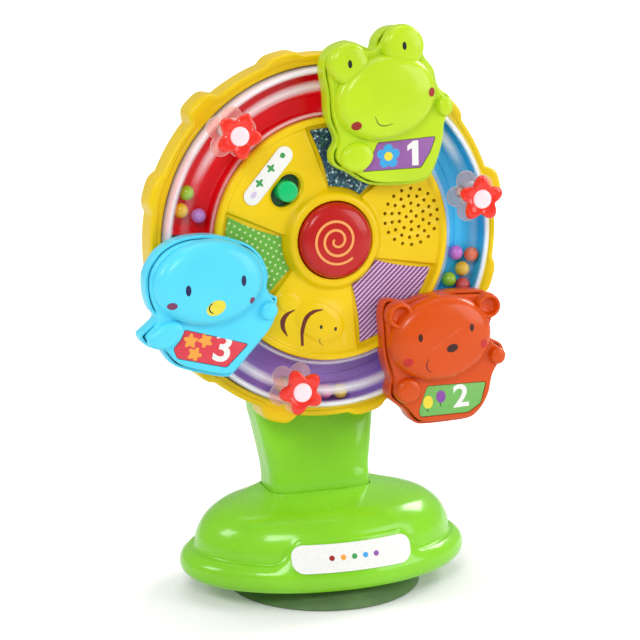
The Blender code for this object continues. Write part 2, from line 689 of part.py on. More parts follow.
def neck_screw_places():
    """One screw for each neck half, on opposite corners."""
    half_depth, middle = NECK_AT_BASE[1], NECK_AT_BASE[2]
    offset = half_depth - SHELL_WALL - BORE_RADIUS - BOSS_WALL + FUSE_DEPTH
    return {"front": (-NECK_SCREW_X, middle - offset), "back": (NECK_SCREW_X, middle + offset)}


def inside_point(point, angle):
    """The inside of the base's wall, across from a point of its outside."""
    outward = Vector((math.cos(angle) / BASE_HALF_WIDTH, math.sin(angle) / BASE_HALF_DEPTH)).normalized()
    return (point[0] - outward.x * SHELL_WALL, point[1] - outward.y * SHELL_WALL,
            max(point[2] - SHELL_WALL, BASE_FLOOR_Z))


def base_level(x):
    """The height of the base's outside over a point of its width."""
    reach = x / BASE_HALF_WIDTH
    for (low_reach, low_rise), (high_reach, high_rise) in zip(BASE_PLAIN_SHARES[2:], BASE_PLAIN_SHARES[3:]):
        if reach >= high_reach:
            share = (low_reach - reach) / (low_reach - high_reach)
            return BASE_FLOOR_Z + BASE_HEIGHT * (low_rise + (high_rise - low_rise) * share)
    return BASE_TOP_Z


def make_base_shell(frame):
    """A thin shell: its outside, the mouth around the neck, and its inside."""
    angles = [math.tau * k / BASE_SEGMENTS for k in range(BASE_SEGMENTS)]
    outside = [[base_point(angle, plain, hump) for angle in angles]
               for plain, hump in zip(BASE_PLAIN_SHARES, BASE_HUMP_SHARES)]
    inside = [[inside_point(point, angle) for point, angle in zip(ring, angles)] for ring in outside]
    half_width, half_depth, middle, _ = NECK_AT_BASE
    mouth = [superellipse(half_width + RUN_GAP, half_depth + RUN_GAP, middle, level, NECK_SQUARENESS,
                          BASE_SEGMENTS) for level in (BASE_TOP_Z, BASE_TOP_Z - 2 * SHELL_WALL)]
    shell = loft("base_shell", outside + mouth + inside[-2::-1], "green_plastic", looped=True)
    boss_radius = BORE_RADIUS + BOSS_WALL
    boss_top = base_level(BASE_SCREW_X + boss_radius) - FUSE_DEPTH
    for spot in base_screw_places().values():
        join(shell, cylinder("boss", boss_radius, NECK_FOOT_Z, boss_top, spot))
        cut(shell, cylinder("bore", BORE_RADIUS, NECK_FOOT_Z - OVERRUN, NECK_FOOT_Z + SCREW_LENGTH, spot))
    place(shell, frame)


def make_base_plate(frame):
    margin = SHELL_WALL + SHELL_WALL / 2
    foot_share = BASE_PLAIN_SHARES[0][0]
    half_width = BASE_HALF_WIDTH * foot_share - margin
    half_depth = BASE_HALF_DEPTH * foot_share - margin
    rings = [superellipse(half_width, half_depth, 0.0, level, 2.0, BASE_SEGMENTS)
             for level in (BASE_FLOOR_Z, BASE_PLATE_TOP)]
    plate = loft("base_bottom_plate", rings, "green_plastic")
    ring_radius = CUP_STEM_RADIUS + RUN_GAP + BOSS_WALL
    join(plate, cylinder("ring", ring_radius, BASE_FLOOR_Z + FUSE_DEPTH, BASE_PLATE_TOP + BOSS_WALL,
                         segments=ROUND_SEGMENTS))
    cut(plate, cylinder("hole", CUP_STEM_RADIUS + RUN_GAP, BASE_FLOOR_Z - OVERRUN, POST_TOP,
                        segments=ROUND_SEGMENTS))
    well_low, well_top = BASE_FLOOR_Z - OVERRUN, BASE_FLOOR_Z + WELL_DEPTH
    for spot in (*base_screw_places().values(), *neck_screw_places().values()):
        join(plate, cylinder("post", POST_RADIUS, BASE_FLOOR_Z + FUSE_DEPTH, POST_TOP, spot))
        cut(plate, cylinder("well", HEAD_BORE_RADIUS, well_low, well_top, spot))
        cut(plate, cylinder("bore", BORE_RADIUS, BASE_FLOOR_Z, POST_TOP + OVERRUN, spot))
    place(plate, frame)


def make_suction_cup(frame):
    """The cup's stem passes through the base plate and its soft flange holds it there."""
    rim_inner = CUP_RADIUS - CUP_RIM_WIDTH
    profile = [(rim_inner * reach, CUP_DISH_DEPTH * rise) for reach, rise in CUP_DISH_SHARES]
    profile += [(rim_inner, 0.0), (CUP_RADIUS, 0.0)]
    profile += [(CUP_RADIUS * reach, CUP_HEIGHT * rise) for reach, rise in CUP_BACK_SHARES]
    flange_low = BASE_PLATE_TOP + BOSS_WALL + SEAT_GAP
    flange_radius = CUP_STEM_RADIUS + CUP_FLANGE
    profile += [(CUP_STEM_RADIUS, CUP_HEIGHT), (CUP_STEM_RADIUS, flange_low), (flange_radius, flange_low),
                (flange_radius, flange_low + THIN_WALL), (CUP_STEM_RADIUS, flange_low + CUP_FLANGE)]
    place(turned("suction_cup", profile, "cup_rubber", CUP_SEGMENTS), frame)


def make_base_screws(frame):
    head = BASE_FLOOR_Z + WELL_DEPTH - SEAT_GAP - SCREW_HEAD_HEIGHT
    for side, spot in base_screw_places().items():
        make_screw("base_screw_" + side, frame, spot, head)
    for side, spot in neck_screw_places().items():
        make_screw("neck_screw_" + side, frame, spot, head)


def label_point(x, rise_share, lift):
    """A point over the hump's slope, at a distance x from its middle, lifted off it."""
    low, high = BASE_HUMP_SHARES[3], BASE_HUMP_SHARES[5]
    reach = low[0] + (high[0] - low[0]) * rise_share
    rise = low[1] + (high[1] - low[1]) * rise_share
    sine = x / (BASE_HALF_WIDTH * reach)
    y = -BASE_HALF_DEPTH * reach * math.sqrt(1 - sine * sine)
    level = BASE_FLOOR_Z + BASE_HEIGHT * rise
    run = BASE_HALF_DEPTH * (low[0] - high[0])
    climb = BASE_HEIGHT * (high[1] - low[1])
    slope = math.hypot(run, climb)
    side = sine * BASE_HALF_DEPTH / BASE_HALF_WIDTH
    return (x + lift * side, y - lift * climb / slope, level + lift * run / slope)


def make_base_label(frame):
    """The blank name plate, bent to the base's front."""
    low, high = BASE_HUMP_SHARES[3], BASE_HUMP_SHARES[5]
    slope = math.hypot(BASE_HALF_DEPTH * (low[0] - high[0]), BASE_HEIGHT * (high[1] - low[1]))
    near, far = SEAT_GAP, SEAT_GAP + LABEL_THICKNESS
    rings = []
    for k in range(LABEL_COLUMNS):
        x = -LABEL_LENGTH / 2 * math.cos(math.pi * k / (LABEL_COLUMNS - 1))
        past = max(abs(x) - (LABEL_LENGTH / 2 - LABEL_CORNER), 0.0)
        half = LABEL_HEIGHT / 2 - LABEL_CORNER + math.sqrt(max(LABEL_CORNER ** 2 - past ** 2, 0.0))
        half_share = half / slope
        rings.append([label_point(x, 1 / 2 - half_share, near), label_point(x, 1 / 2, near),
                      label_point(x, 1 / 2 + half_share, near), label_point(x, 1 / 2 + half_share, far),
                      label_point(x, 1 / 2, far), label_point(x, 1 / 2 - half_share, far)])
    place(loft("base_label", rings, "white_print"), frame)


# Neck
def neck_half(name, side):
    """The outer form of one neck half: side -1 is the front."""
    rings = []
    for shares in NECK_SECTION_SHARES:
        half_width, half_depth, middle, level = neck_section(shares)
        ring = superellipse(half_width, half_depth, middle, level, NECK_SQUARENESS, NECK_SEGMENTS)
        half = ring[NECK_SEGMENTS // 2:] + ring[:1] if side < 0 else ring[:NECK_SEGMENTS // 2 + 1]
        seam = middle + side * SEAT_GAP / 2
        rings.append([(x, min(y, seam) if side < 0 else max(y, seam), z) for x, y, z in half])
    return loft(name, rings, "green_plastic")


def neck_form(name, sections, margin):
    """The neck's outer form drawn in by a margin, from just below its foot."""
    rings = []
    for shares in sections:
        half_width, half_depth, middle, level = neck_section(shares)
        level -= 0 if rings else OVERRUN
        rings.append(superellipse(half_width - margin, half_depth - margin, middle, level, NECK_SQUARENESS,
                                  NECK_SEGMENTS))
    return loft(name, rings)


def on_wheel_axis(item):
    """Carries a piece that was built about the wheel's axis into the stand's frame."""
    shift = Matrix.Translation((-STAND_AXIS_X, 0.0, 0.0))
    item.data.transform(shift @ wheel_matrix())
    return item


def make_neck(frame):
    front_level = WHEEL_BACK - WHEEL_BACK_GAP
    back_level = -AXLE_REACH_BACK - SEAT_GAP
    middle_level = (front_level + back_level) / 2
    axle_hole = AXLE_RADIUS + SEAT_GAP
    boss_top = NECK_FOOT_Z + 2 * SCREW_LENGTH
    for half, side in (("front", -1), ("back", 1)):
        shell = neck_half("neck_" + half + "_shell", side)
        cut(shell, neck_form("cavity", NECK_SECTION_SHARES[:CAVITY_SECTIONS], SHELL_WALL))
        spot = neck_screw_places()[half]
        join(shell, cylinder("boss", BORE_RADIUS + BOSS_WALL, NECK_FOOT_Z, boss_top, spot))
        cut(shell, cylinder("bore", BORE_RADIUS, NECK_FOOT_Z - OVERRUN, NECK_FOOT_Z + SCREW_LENGTH, spot))
        if side < 0:
            low, high = middle_level + SEAT_GAP, front_level - FUSE_DEPTH
            bore_low, bore_high = low - OVERRUN, front_level + 2 * OVERRUN
        else:
            low, high = back_level - SHELL_WALL, middle_level - SEAT_GAP
            bore_low, bore_high = back_level, high + OVERRUN
        join(shell, on_wheel_axis(cylinder("boss", AXLE_BOSS_RADIUS, low, high, segments=ROUND_SEGMENTS)))
        cut(shell, on_wheel_axis(cylinder("bore", axle_hole, bore_low, bore_high, segments=ROUND_SEGMENTS)))
        place(shell, frame)


def make_axle(wheel):
    bore = BORE_RADIUS
    back, front = -AXLE_REACH_BACK, AXLE_FRONT_LEVEL
    axle = turned("wheel_axle", ((AXLE_RADIUS, back), (AXLE_RADIUS, front)), "steel")
    cut(axle, cylinder("bore", bore, front - SCREW_LENGTH - OVERRUN, front + OVERRUN))
    place(axle, wheel)
    head = front + SEAT_GAP + SCREW_HEAD_HEIGHT
    make_screw("axle_screw", wheel, (0.0, 0.0), head, -1, AXLE_FLANGE_RADIUS)


# Wheel shells
def bump_size(index):
    """A bump's height and half its share of the pitch: every fourth bump is a large one."""
    if index % (BUMP_COUNT // len(TRACKS)) == 0:
        return BIG_BUMP_HEIGHT, BIG_BUMP_HALF_SHARE
    return BUMP_HEIGHT, BUMP_HALF_SHARE


def rim_stations():
    """The angles around the rim where its outline turns, and how far it stands out there."""
    stations = []
    for index in range(BUMP_COUNT):
        height, half = bump_size(index)
        top = half - BUMP_RAMP_SHARE
        for offset, reach in ((-half, 0.0), (-top, height), (top, height), (half, 0.0), (1 / 2, 0.0)):
            stations.append((WHEEL_PHASE + 360 / BUMP_COUNT * (index + offset), reach))
    return stations


SPEAKER_SPOT = polar(SPEAKER_DISTANCE, SPEAKER_DIRECTION)
SLOT_SPOT = polar(SLOT_DISTANCE, SLOT_DIRECTION)


def shell_screw_places():
    return [polar(SHELL_SCREW_DISTANCE, angle) for angle in SHELL_SCREW_ANGLES]


def tray_peg_places(critter):
    """Two pegs in the gap between the tracks that lies under an animal."""
    middle = round((CRITTERS[critter]["direction"] - 60) / 120) * 120 + 60 + WHEEL_PHASE
    return [polar(TRAY_PEG_DISTANCE, middle + side * TRAY_PEG_ANGLE) for side in (-1, 1)]


def board_post_places():
    left, right = BOARD_LEFT + BOARD_POST_INSET, BOARD_RIGHT - BOARD_POST_INSET
    top, bottom = BOARD_TOP - BOARD_POST_INSET, BOARD_BOTTOM + BOARD_POST_INSET
    return [(left, bottom), (left, top), (right, top)]


def door_outline(margin):
    """The battery opening: as wide as the box's inside, and reaching past it to the door's screw."""
    half = BOX_HALF_LENGTH - BOX_WALL - margin
    low = BATTERY_V - BOX_HALF_WIDTH - SEAT_GAP - 2 * POST_RADIUS + margin
    return box_outline(-half, half, low, BATTERY_V + BOX_HALF_WIDTH - BOX_WALL - margin)


def door_screw_place():
    return (0.0, BATTERY_V - BOX_HALF_WIDTH - SEAT_GAP - POST_RADIUS)


def make_back_shell(wheel):
    hub_hole = AXLE_RADIUS + RUN_GAP
    hub_outer = hub_hole + SHELL_WALL
    inner = WHEEL_RADIUS - SHELL_WALL
    edge = THIN_WALL
    profile = (
        (hub_hole, WHEEL_BACK, 0), (WHEEL_RADIUS - edge, WHEEL_BACK, 1), (WHEEL_RADIUS, WHEEL_BACK + edge, 1),
        (WHEEL_RADIUS, -edge, 1), (WHEEL_RADIUS - edge, 0.0, 1), (LIP_RADIUS, 0.0, 0),
        (LIP_RADIUS, -LIP_THICKNESS, 0), (inner, -LIP_THICKNESS, 0), (inner, WHEEL_FLOOR, 0),
        (hub_outer, WHEEL_FLOOR, 0), (hub_outer, HUB_TUBE_TOP, 0), (hub_hole, HUB_TUBE_TOP, 0))
    rings = []
    for radius, level, bumped in profile:
        rings.append([(*polar(radius + reach * bumped, angle), level) for angle, reach in rim_stations()])
    shell = loft("wheel_back_shell", rings, "yellow_plastic", looped=True)
    opening = door_outline(0.0)
    cut(shell, stacked("opening", ((opening, WHEEL_BACK - OVERRUN), (opening, WHEEL_FLOOR + OVERRUN))))
    well_top = WHEEL_BACK + WELL_DEPTH + BOSS_WALL
    for spot in shell_screw_places():
        join(shell, cylinder("post", POST_RADIUS, WHEEL_BACK + FUSE_DEPTH, well_top, spot))
        cut(shell, cylinder("well", HEAD_BORE_RADIUS, WHEEL_BACK - OVERRUN, WHEEL_BACK + WELL_DEPTH, spot))
        cut(shell, cylinder("bore", BORE_RADIUS, WHEEL_BACK, well_top + OVERRUN, spot))
    for spot in board_post_places():
        join(shell, cylinder("post", BOARD_POST_RADIUS, WHEEL_BACK + FUSE_DEPTH, BOARD_LEVEL - SEAT_GAP, spot,
                             HOLE_SEGMENTS))
    bore_low, bore_top = TRACK_TOP_LEVEL - SCREW_LENGTH, TRACK_TOP_LEVEL + OVERRUN
    for critter in CRITTERS:
        for spot in tray_peg_places(critter):
            join(shell, cylinder("post", BORE_RADIUS + BOSS_WALL, WHEEL_BACK + FUSE_DEPTH, TRACK_TOP_LEVEL,
                                 spot, SMALL_SEGMENTS))
            cut(shell, cylinder("bore", BORE_RADIUS, bore_low, bore_top, spot, HOLE_SEGMENTS))
    place(shell, wheel)
    head = WHEEL_BACK + WELL_DEPTH - SEAT_GAP - SCREW_HEAD_HEIGHT
    for index, spot in enumerate(shell_screw_places()):
        make_screw("shell_screw_" + str(index + 1), wheel, spot, head)


def recess_half_angle(radius):
    """Half the angle that a patch recess spans at a radius."""
    share = (radius - COLLAR_RADIUS) / (PANEL_RADIUS - PANEL_RIM_WIDTH - COLLAR_RADIUS)
    return RECESS_INNER_ANGLE + (RECESS_OUTER_ANGLE - RECESS_INNER_ANGLE) * min(max(share, 0.0), 1.0)


def panel_ring(radius, raised, sunk):
    """One ring of the front panel, with the levels of the raised sectors and of the recesses."""
    half = recess_half_angle(radius)
    ring = []
    for k in range(3):
        middle = WHEEL_PHASE + 120 * k
        edge = 60 - half
        for share in (-1.0, -0.5, 0.0, 0.5, 1.0):
            ring.append((*polar(radius, middle + edge * share), raised))
        low = edge + STEP_ANGLE
        for share in (0.0, 0.25, 0.5, 0.75, 1.0):
            ring.append((*polar(radius, middle + low + (120 - 2 * low) * share), sunk))
    return ring


def speaker_holes():
    places = []
    for index, (share, count) in enumerate(SPEAKER_RING_SHARES):
        for k in range(count):
            u, v = polar(SPEAKER_RADIUS * share, 360 * (k + index / 2) / count)
            places.append((SPEAKER_SPOT[0] + u, SPEAKER_SPOT[1] + v))
    return places


def make_front_panel(wheel):
    hole = DOME_RADIUS + RUN_GAP
    rim_inner = PANEL_RADIUS - PANEL_RIM_WIDTH
    skirt_inner = PANEL_RADIUS - SHELL_WALL
    edge = FUSE_DEPTH
    under = PANEL_UNDER_LEVEL
    foot = WHEEL_FLOOR + SEAT_GAP
    raised, sunk = SECTOR_LEVEL, RECESS_LEVEL
    profile = (
        (hole, under, under), (hole, COLLAR_LEVEL - edge, COLLAR_LEVEL - edge),
        (hole + edge, COLLAR_LEVEL, COLLAR_LEVEL), (COLLAR_RADIUS - 3 * edge, COLLAR_LEVEL, COLLAR_LEVEL),
        (COLLAR_RADIUS - edge, PANEL_RIM_LEVEL, PANEL_RIM_LEVEL), (COLLAR_RADIUS, raised, sunk),
        (rim_inner - edge, raised, sunk), (rim_inner, PANEL_RIM_LEVEL - edge, PANEL_RIM_LEVEL - edge),
        (rim_inner + edge, PANEL_RIM_LEVEL, PANEL_RIM_LEVEL),
        (PANEL_RADIUS - edge, PANEL_RIM_LEVEL, PANEL_RIM_LEVEL),
        (PANEL_RADIUS, PANEL_RIM_LEVEL - edge, PANEL_RIM_LEVEL - edge), (PANEL_RADIUS, foot, foot),
        (skirt_inner, foot, foot), (skirt_inner, under, under))
    panel = loft("wheel_front_panel", [panel_ring(*row) for row in profile], "yellow_plastic", looped=True)
    join(panel, bee_form())
    slot = pill_outline(SLOT_LENGTH, SLOT_WIDTH, SLOT_SPOT, SLOT_ANGLE)
    cut(panel, stacked("slot", ((slot, under - OVERRUN), (slot, SECTOR_LEVEL + OVERRUN))))
    holes = [cylinder("hole", SPEAKER_HOLE_RADIUS, under - OVERRUN, SECTOR_LEVEL + OVERRUN, spot,
                      SPEAKER_HOLE_SEGMENTS) for spot in speaker_holes()]
    cut(panel, merged("holes", holes))
    boss_low = WHEEL_BACK + WELL_DEPTH + BOSS_WALL + SEAT_GAP
    bore_low, bore_top = boss_low - OVERRUN, boss_low + SCREW_LENGTH
    for spot in shell_screw_places():
        join(panel, cylinder("boss", BORE_RADIUS + BOSS_WALL, boss_low, under + FUSE_DEPTH, spot))
        cut(panel, cylinder("bore", BORE_RADIUS, bore_low, bore_top, spot, HOLE_SEGMENTS))
    place(panel, wheel)


def bee_form():
    """A low bee relief on the lower sector: a body and a wing."""
    length = PANEL_RADIUS - PANEL_RIM_WIDTH - COLLAR_RADIUS
    direction = WHEEL_PHASE + 240
    parts = []
    for along, across, half_length, half_width, turn in (BEE_BODY_SHARES, BEE_WING_SHARES):
        middle = Vector(polar(COLLAR_RADIUS + length * along, direction))
        middle += Vector(polar(length * across, direction - 90))
        parts.append(dome("bee", middle, length * half_length, length * half_width, direction + 90 + turn,
                          SECTOR_LEVEL - FUSE_DEPTH, SECTOR_LEVEL + BEE_RISE, ROUND_SEGMENTS))
    join(parts[0], parts[1])
    return parts[0]


def make_patches(wheel):
    inner = COLLAR_RADIUS + PATCH_MARGIN
    outer = PANEL_RADIUS - PANEL_RIM_WIDTH - 2 * FUSE_DEPTH - PATCH_MARGIN
    low = RECESS_LEVEL + SEAT_GAP
    for name, material, index in (("glitter_patch", "glitter_cloth", 0), ("dot_patch", "dot_cloth", 1),
                                  ("stripe_patch", "stripe_cloth", 2)):
        direction = WHEEL_PHASE + 60 + 120 * index
        outline = []
        for radius, ends in ((inner, (-1, 1)), (outer, (1, -1))):
            half = recess_half_angle(radius) - STEP_ANGLE - math.degrees(PATCH_MARGIN / radius)
            for k in range(PATCH_STEPS + 1):
                across = ends[0] + (ends[1] - ends[0]) * k / PATCH_STEPS
                outline.append(polar(radius, direction + half * across))
        patch = stacked(name, ((outline, low), (outline, low + PATCH_THICKNESS)), material)
        place(patch, wheel)


# Bead tracks, cover and lights
def make_tracks(wheel):
    floor_under = TRACK_FLOOR_LEVEL - TRACK_FLOOR_THICKNESS
    hole_low, hole_top = floor_under - OVERRUN, TRACK_FLOOR_LEVEL + OVERRUN
    foot = WHEEL_FLOOR + SEAT_GAP
    top = TRACK_TOP_LEVEL
    for colour, middle in TRACKS.items():
        direction = middle + WHEEL_PHASE
        inner_angle = TRACK_HALF_ANGLE - TRACK_END_ANGLE
        shares = [2 * k / TRACK_SPANS - 1 for k in range(TRACK_SPANS + 1)]
        angles = [(-TRACK_HALF_ANGLE, True), (-inner_angle - TRACK_END_ANGLE / 8, True)]
        angles += [(inner_angle * share, False) for share in shares]
        angles += [(inner_angle + TRACK_END_ANGLE / 8, True), (TRACK_HALF_ANGLE, True)]
        rings = []
        for angle, closed in angles:
            floor = top - FUSE_DEPTH if closed else TRACK_FLOOR_LEVEL
            section = (
                (TRACK_INNER, top), (TRACK_INNER, foot), (CHANNEL_INNER, foot), (CHANNEL_INNER, floor_under),
                (CHANNEL_OUTER, floor_under), (CHANNEL_OUTER, foot), (TRACK_OUTER, foot), (TRACK_OUTER, top),
                (CHANNEL_OUTER, top), (CHANNEL_OUTER, floor), (CHANNEL_INNER, floor), (CHANNEL_INNER, top))
            rings.append([(*polar(radius, direction + angle), level) for radius, level in section])
        track = loft(colour + "_track", rings, colour + "_track")
        spot = polar(FLOWER_DISTANCE, direction)
        cut(track, cylinder("hole", LED_RADIUS + RUN_GAP, hole_low, hole_top, spot))
        place(track, wheel)


def make_cover(wheel):
    edge = FUSE_DEPTH
    under = COVER_UNDER_LEVEL
    skirt = COVER_RADIUS - COVER_SKIRT
    foot = SEAT_GAP - LIP_THICKNESS
    profile = [(TRACK_INNER, under), (skirt, under), (skirt, foot), (COVER_RADIUS, foot)]
    profile += [(COVER_RADIUS - COVER_EDGE * inward, COVER_LEVEL - COVER_EDGE * drop)
                for inward, drop in EDGE_SHARES]
    profile += [(TRACK_INNER + edge, COVER_LEVEL), (TRACK_INNER, COVER_LEVEL - edge)]
    cover = turned("track_cover", profile, "clear_plastic", WHEEL_SEGMENTS, hollow=True)
    low, high = under - OVERRUN, COVER_LEVEL + OVERRUN
    for critter in CRITTERS:
        for spot in tray_peg_places(critter):
            cut(cover, cylinder("hole", BORE_RADIUS, low, high, spot, HOLE_SEGMENTS))
    place(cover, wheel)


def flower_outline(radius, middle, turn):
    """Round petals set in a ring, one of them at the turn angle."""
    distance, petal = radius * PETAL_DISTANCE_SHARE, radius * PETAL_RADIUS_SHARE
    pitch = 360 / PETAL_COUNT
    points = []
    for k in range(FLOWER_SEGMENTS):
        angle = 360 * k / FLOWER_SEGMENTS
        offset = math.radians((angle + pitch / 2) % pitch - pitch / 2)
        reach = distance * math.cos(offset) + math.sqrt(petal ** 2 - (distance * math.sin(offset)) ** 2)
        u, v = polar(reach, angle + turn)
        points.append((middle[0] + u, middle[1] + v))
    return points


def flower_solid(name, shares, middle, turn):
    low = COVER_LEVEL + SEAT_GAP
    outlines = [(flower_outline(FLOWER_RADIUS * reach, middle, turn), low + FLOWER_HEIGHT * rise)
                for reach, rise in shares]
    return stacked(name, outlines, "flower_lens")


def make_flowers(wheel):
    """Each light is a flower-shaped foot, a stem and a flower on top, over a lamp below the track."""
    low = COVER_LEVEL + SEAT_GAP
    stem_low = low + FLOWER_HEIGHT * FLOWER_BASE_SHARES[1][1]
    stem_high = low + FLOWER_HEIGHT * FLOWER_STAR_SHARES[2][1]
    names = {120.0: "top_left", 240.0: "bottom", 0.0: "right"}
    for middle in TRACKS.values():
        direction = middle + WHEEL_PHASE
        spot = polar(FLOWER_DISTANCE, direction)
        lens = flower_solid("flower_lens_" + names[middle], FLOWER_BASE_SHARES, spot,
                            direction + FLOWER_BASE_TURN)
        join(lens, cylinder("stem", FLOWER_RADIUS * FLOWER_STEM_SHARE, stem_low, stem_high, spot))
        join(lens, flower_solid("star", FLOWER_STAR_SHARES, spot, direction + FLOWER_STAR_TURN))
        place(lens, wheel)
        board_low = WHEEL_FLOOR + SEAT_GAP
        board_top = board_low + LED_BOARD_THICKNESS
        tip = TRACK_FLOOR_LEVEL - SEAT_GAP
        profile = ((LED_BOARD_RADIUS, board_low), (LED_BOARD_RADIUS, board_top), (LED_RADIUS, board_top),
                   (LED_RADIUS, tip - LED_RADIUS / 2), (LED_RADIUS / 2, tip))
        place(turned("flower_led_" + names[middle], profile, "white_plastic", SMALL_SEGMENTS, spot), wheel)


def bead_spot(angle, share):
    inner = CHANNEL_INNER + BEAD_RADIUS
    outer = CHANNEL_OUTER - BEAD_RADIUS
    return polar(inner + (outer - inner) * share, angle)


def make_beads(wheel):
    profile = []
    for row in range(BEAD_ROWS + 1):
        tilt = math.pi * (BEAD_POLE_SHARE + (1 - 2 * BEAD_POLE_SHARE) * row / BEAD_ROWS)
        profile.append((BEAD_RADIUS * math.sin(tilt), BEAD_LEVEL - BEAD_RADIUS * math.cos(tilt)))
    for track, places in BEAD_PLACE_SHARES.items():
        for colour, angle, share in places:
            name = "bead_" + colour + "_in_" + track + "_track"
            place(turned(name, profile, colour + "_bead", SMALL_SEGMENTS, bead_spot(angle, share)), wheel)


# Animal buttons
def critter_centre(critter):
    x, y = CRITTERS[critter]["centre_shares"]
    return (WHEEL_RADIUS * x, WHEEL_RADIUS * y)


def critter_points(critter, pairs):
    centre, half = critter_centre(critter), CRITTERS[critter]["half"]
    return [(centre[0] + x * half[0], centre[1] + y * half[1]) for x, y in pairs]


def make_tray(critter, wheel):
    outline = smooth_outline(critter_points(critter, CRITTERS[critter]["outline_shares"]), OUTLINE_POINTS)
    edge = BUTTON_EDGE / 2
    levels = ((inset(outline, edge), TRAY_LOW_LEVEL), (outline, TRAY_LOW_LEVEL + edge),
              (outline, TRAY_TOP_LEVEL - edge), (inset(outline, edge / 2), TRAY_TOP_LEVEL))
    tray = stacked(critter + "_tray", levels, critter + "_plastic")
    hollow = inset(outline, THIN_WALL)
    floor = TRAY_LEVEL + TRAY_FLOOR
    cut(tray, stacked("hollow", ((hollow, floor), (hollow, TRAY_TOP_LEVEL + OVERRUN))))
    cut(tray, cylinder("panel_room", TRACK_INNER, TRAY_LOW_LEVEL - OVERRUN, TRAY_LEVEL,
                       segments=WHEEL_SEGMENTS))
    peg_low, peg_top = TRAY_LOW_LEVEL - TRAY_PEG_LENGTH, TRAY_LOW_LEVEL + FUSE_DEPTH
    for spot in tray_peg_places(critter):
        join(tray, cylinder("peg", SCREW_RADIUS, peg_low, peg_top, spot, HOLE_SEGMENTS))
    place(tray, wheel)


def make_button(critter, wheel):
    spec = CRITTERS[critter]
    outline = smooth_outline(critter_points(critter, spec["outline_shares"]), OUTLINE_POINTS)
    side = inset(outline, BUTTON_INSET)
    levels = [(side, BUTTON_SKIRT_LEVEL)]
    levels += [(inset(side, BUTTON_EDGE * inward), BUTTON_PLATE_LEVEL - BUTTON_EDGE * drop)
               for inward, drop in EDGE_SHARES]
    button = stacked(critter + "_button", levels, critter + "_plastic")
    fused = BUTTON_PLATE_LEVEL - 2 * FUSE_DEPTH
    half_width, half_height = spec["half"]
    for x, y, reach in spec["ear_shares"]:
        middle, = critter_points(critter, ((x, y),))
        radius = half_width * reach
        join(button, dome("ear", middle, radius, radius, 0.0, fused, EAR_LEVEL))
    for x, y, wide, high, turn in spec["hand_shares"]:
        middle, = critter_points(critter, ((x, y),))
        join(button, dome("hand", middle, half_width * wide, half_width * high, turn, fused, HAND_LEVEL))
    x, y, wide, high = spec["head_shares"]
    middle, = critter_points(critter, ((x, y),))
    head_wide, head_high = half_width * wide, half_height * high
    join(button, dome("head", middle, head_wide, head_high, spec["head_turn"], fused, HEAD_LEVEL,
                      HEAD_SEGMENTS, DOME_SHARES))
    pocket = inset(outline, BUTTON_INSET + BUTTON_WALL)
    cut(button, stacked("pocket", ((pocket, BUTTON_SKIRT_LEVEL - OVERRUN), (pocket, BUTTON_CEILING_LEVEL))))
    cut(button, dome("cavity", middle, head_wide - HEAD_WALL, head_high - HEAD_WALL, spec["head_turn"],
                     BUTTON_CEILING_LEVEL - FUSE_DEPTH, HEAD_LEVEL - HEAD_WALL))
    stem_low = TRAY_LEVEL + TRAY_FLOOR + BUTTON_TRAVEL + SEAT_GAP
    join(button, cylinder("stem", DOME_STEM_RADIUS, stem_low, HEAD_LEVEL - HEAD_WALL + FUSE_DEPTH, middle))
    corners = critter_points(critter, spec["label_shares"])
    recess = inset(corners, -SEAT_GAP)
    label_floor = BUTTON_PLATE_LEVEL - NUMBER_LABEL_RECESS
    cut(button, stacked("recess", ((recess, label_floor), (recess, HEAD_LEVEL + OVERRUN))))
    low = label_floor + SEAT_GAP
    high = low + NUMBER_LABEL_THICKNESS
    label = stacked(critter + "_number_label", ((corners, low), (corners, high)), critter + "_label")
    place_on_joint(button, wheel, critter_centre(critter))
    place_on_joint(label, wheel, critter_centre(critter))


# Middle controls
def make_music_button(wheel):
    under = PANEL_UNDER_LEVEL - SEAT_GAP
    flange = DOME_RADIUS + DOME_FLANGE
    flange_low = under - DOME_FLANGE_THICKNESS
    inner = DOME_RADIUS - SHELL_WALL
    rise = DOME_LEVEL - DOME_SKIRT_LEVEL
    outer = [(DOME_RADIUS * reach, DOME_SKIRT_LEVEL + rise * share) for reach, share in DOME_SHARES]
    hollow_reach, hollow_rise = DOME_HOLLOW_SHARES
    hollow_top = DOME_SKIRT_LEVEL + rise * hollow_rise
    stem_low = BOARD_TOP_LEVEL + MUSIC_SWITCH_HEIGHT + BUTTON_TRAVEL + SEAT_GAP
    profile = [(DOME_STEM_RADIUS, stem_low), (DOME_STEM_RADIUS, hollow_top),
               (inner * hollow_reach, hollow_top), (inner, DOME_SKIRT_LEVEL - FUSE_DEPTH),
               (inner, flange_low), (flange, flange_low), (flange, under), (DOME_RADIUS, under)]
    button = turned("music_button", profile + outer, "red_plastic", DOME_SEGMENTS)
    place_on_joint(button, wheel, (0.0, 0.0))


